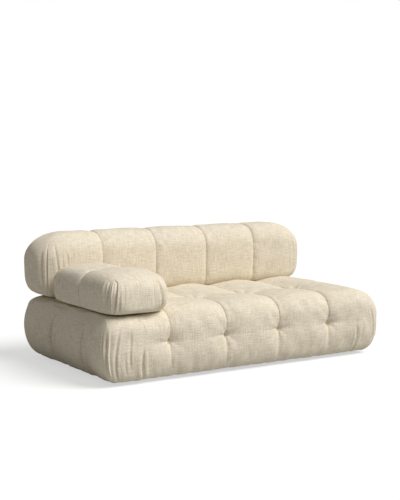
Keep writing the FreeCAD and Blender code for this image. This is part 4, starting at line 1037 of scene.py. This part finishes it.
class SOFA_OT_dust_sheet(bpy.types.Operator):
    """Makes the dust sheet that is stapled across the underside"""
    bl_idname = "sofa.dust_sheet"
    bl_label = "Dust sheet"

    # How far in from the edge the puckers at the staples fade.
    PUCKER_REACH = 0.02

    def execute(self, context):
        form = context.scene.sofa_form
        low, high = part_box("dust_cover")
        holes = [self.hole(node) for node in SHEET_HOLES]
        lines = []
        for axis in (0, 1):
            stops = sorted({low[axis], high[axis], *(hole[axis] for hole in holes)})
            lines.append(graded_lines(stops, [form.mesh_step] * (len(stops) - 1), 0.0))
        x, y = (line.ravel() for line in np.meshgrid(*lines, indexing="ij"))
        row = len(lines[1])
        faces = np.array([(i, i + row, i + row + 1, i + 1) for i in range(len(x) - row) if (i + 1) % row])
        for centre_x, centre_y, radius in holes:
            away = np.hypot(x - centre_x, y - centre_y)
            opened = (away < radius)[faces].any(axis=1)
            rim = np.setdiff1d(faces[opened], np.nonzero(away < radius)[0])
            x[rim] = centre_x + (x[rim] - centre_x) * radius / away[rim]
            y[rim] = centre_y + (y[rim] - centre_y) * radius / away[rim]
            faces = faces[~opened]
        edge = np.minimum.reduce([x - low[0], high[0] - x, y - low[1], high[1] - y])
        pucker = 1 + np.cos(2 * np.pi * (x + y) / form.staple_pitch)
        pull = form.staple_pull * np.exp(-edge / self.PUCKER_REACH) * pucker
        across = (2 * x - low[0] - high[0]) / (high[0] - low[0])
        along = (2 * y - low[1] - high[1]) / (high[1] - low[1])
        z = (low[2] + high[2]) / 2 - pull - form.sheet_sag * (1 - across ** 2) * (1 - along ** 2)
        used = np.unique(faces)
        mesh = bpy.data.meshes.new("dust_sheet")
        mesh.from_pydata(np.column_stack((x, y, z))[used].tolist(), [], np.searchsorted(used, faces).tolist())
        mesh.materials.append(frame["nodes"]["dust_cover"].data.materials[0])
        piece = bpy.data.objects.new("dust_sheet", mesh)
        context.scene.collection.objects.link(piece)
        make_real(piece, "SOLIDIFY", thickness=form.sheet_thickness, offset=0.0)
        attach(piece, "base")
        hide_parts("dust_cover")
        return {"FINISHED"}

    def hole(self, node):
        """Middle and radius of the hole for a round node."""
        low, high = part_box(node)
        return (low[0] + high[0]) / 2, (low[1] + high[1]) / 2, (high[0] - low[0]) / 2


class SOFA_OT_stage(bpy.types.Operator):
    """Makes the floor, the lamp, the surroundings and the camera"""
    bl_idname = "sofa.stage"
    bl_label = "Stage"

    def execute(self, context):
        stage = context.scene.sofa_stage
        self.make_floor()
        self.make_lamp(stage)
        self.make_world(context.scene, stage)
        self.make_camera(context.scene, stage)
        context.scene.view_settings.view_transform = "Standard"
        return {"FINISHED"}

    def make_floor(self):
        """A wide pale floor: white to the camera, and still dimmed by the sofa's shadow."""
        half = 30.0
        mesh = bpy.data.meshes.new("studio_floor")
        corners = [(-half, -half, 0), (half, -half, 0), (half, half, 0), (-half, half, 0)]
        mesh.from_pydata(corners, [], [(0, 1, 2, 3)])
        floor = bpy.data.objects.new("studio_floor", mesh)
        bpy.context.scene.collection.objects.link(floor)
        material, tree = new_material("painted_studio_floor")
        matte = add(tree, "ShaderNodeBsdfDiffuse", {"Color": to_linear("#BCBCBA")})
        shadow = add(tree, "ShaderNodeBsdfDiffuse", {"Color": to_linear("#B3B3B2")})
        glow = add(tree, "ShaderNodeEmission", {"Color": (1, 1, 1, 1), "Strength": 0.58})
        seen = add(tree, "ShaderNodeAddShader", {0: shadow.outputs[0], 1: glow.outputs[0]})
        mixed = add(tree, "ShaderNodeMixShader", {0: seen_share(tree), 1: matte.outputs[0],
                                                  2: seen.outputs[0]})
        add(tree, "ShaderNodeOutputMaterial", {"Surface": mixed.outputs[0]})
        mesh.materials.append(material)

    def make_lamp(self, stage):
        """One soft light from high at the front right, even over the whole floor."""
        lamp = bpy.data.lights.new("key_light", "SUN")
        lamp.energy = stage.key_strength
        lamp.angle = stage.key_spread
        holder = bpy.data.objects.new("key_light", lamp)
        holder.location = KEY_FROM * KEY_DISTANCE
        holder.rotation_euler = (-KEY_FROM).to_track_quat("-Z", "Y").to_euler()
        bpy.context.scene.collection.objects.link(holder)

    def make_world(self, scene, stage):
        """Even light from all around, and white where the camera sees past the floor."""
        world = bpy.data.worlds.new("studio")
        world.use_nodes = True
        tree = world.node_tree
        tree.nodes.clear()
        strength = add(tree, "ShaderNodeMapRange", {"Value": seen_share(tree), "To Min": stage.ambient,
                                                     "To Max": 1.0})
        sky = add(tree, "ShaderNodeBackground", {"Color": (1, 1, 1, 1), "Strength": strength.outputs[0]})
        add(tree, "ShaderNodeOutputWorld", {"Surface": sky.outputs[0]})
        scene.world = world

    def make_camera(self, scene, stage):
        """The camera, at the photograph's viewing angle."""
        camera = bpy.data.cameras.new("camera")
        camera.sensor_width = 36.0
        camera.lens = stage.lens
        holder = bpy.data.objects.new("camera", camera)
        holder.location = stage.camera_place
        holder.rotation_euler = stage.camera_turn
        scene.collection.objects.link(holder)
        scene.camera = holder


class SOFA_PT_panel(bpy.types.Panel):
    """Lists the sofa's steps"""
    bl_idname = "SOFA_PT_panel"
    bl_label = "Tufted sectional sofa"
    bl_space_type = "VIEW_3D"
    bl_region_type = "UI"
    bl_category = "Sofa"

    def draw(self, context):
        for step in STEPS:
            self.layout.operator(step.bl_idname)


STEPS = (SOFA_OT_seat_block, SOFA_OT_back_bolster, SOFA_OT_arm_bolster, SOFA_OT_hidden_pieces,
         SOFA_OT_dust_sheet, SOFA_OT_stage)
SETTINGS = {"sofa_form": SofaFormSettings, "sofa_finish": SofaFinishSettings, "sofa_stage": SofaStageSettings}


def register():
    """Registers the classes, and gives the scene its settings."""
    for kind in (*SETTINGS.values(), *STEPS, SOFA_PT_panel):
        bpy.utils.register_class(kind)
    for name, kind in SETTINGS.items():
        setattr(bpy.types.Scene, name, PointerProperty(type=kind))


def unregister():
    """Takes the settings and the classes away again."""
    for name in SETTINGS:
        delattr(bpy.types.Scene, name)
    for kind in (SOFA_PT_panel, *reversed(STEPS), *reversed(SETTINGS.values())):
        bpy.utils.unregister_class(kind)


def main():
    """Makes every piece and the stage."""
    register()
    bpy.ops.sofa.seat_block()
    bpy.ops.sofa.back_bolster()
    bpy.ops.sofa.arm_bolster()
    bpy.ops.sofa.hidden_pieces()
    bpy.ops.sofa.dust_sheet()
    bpy.ops.sofa.stage()


if __name__ == "__main__":
    main()
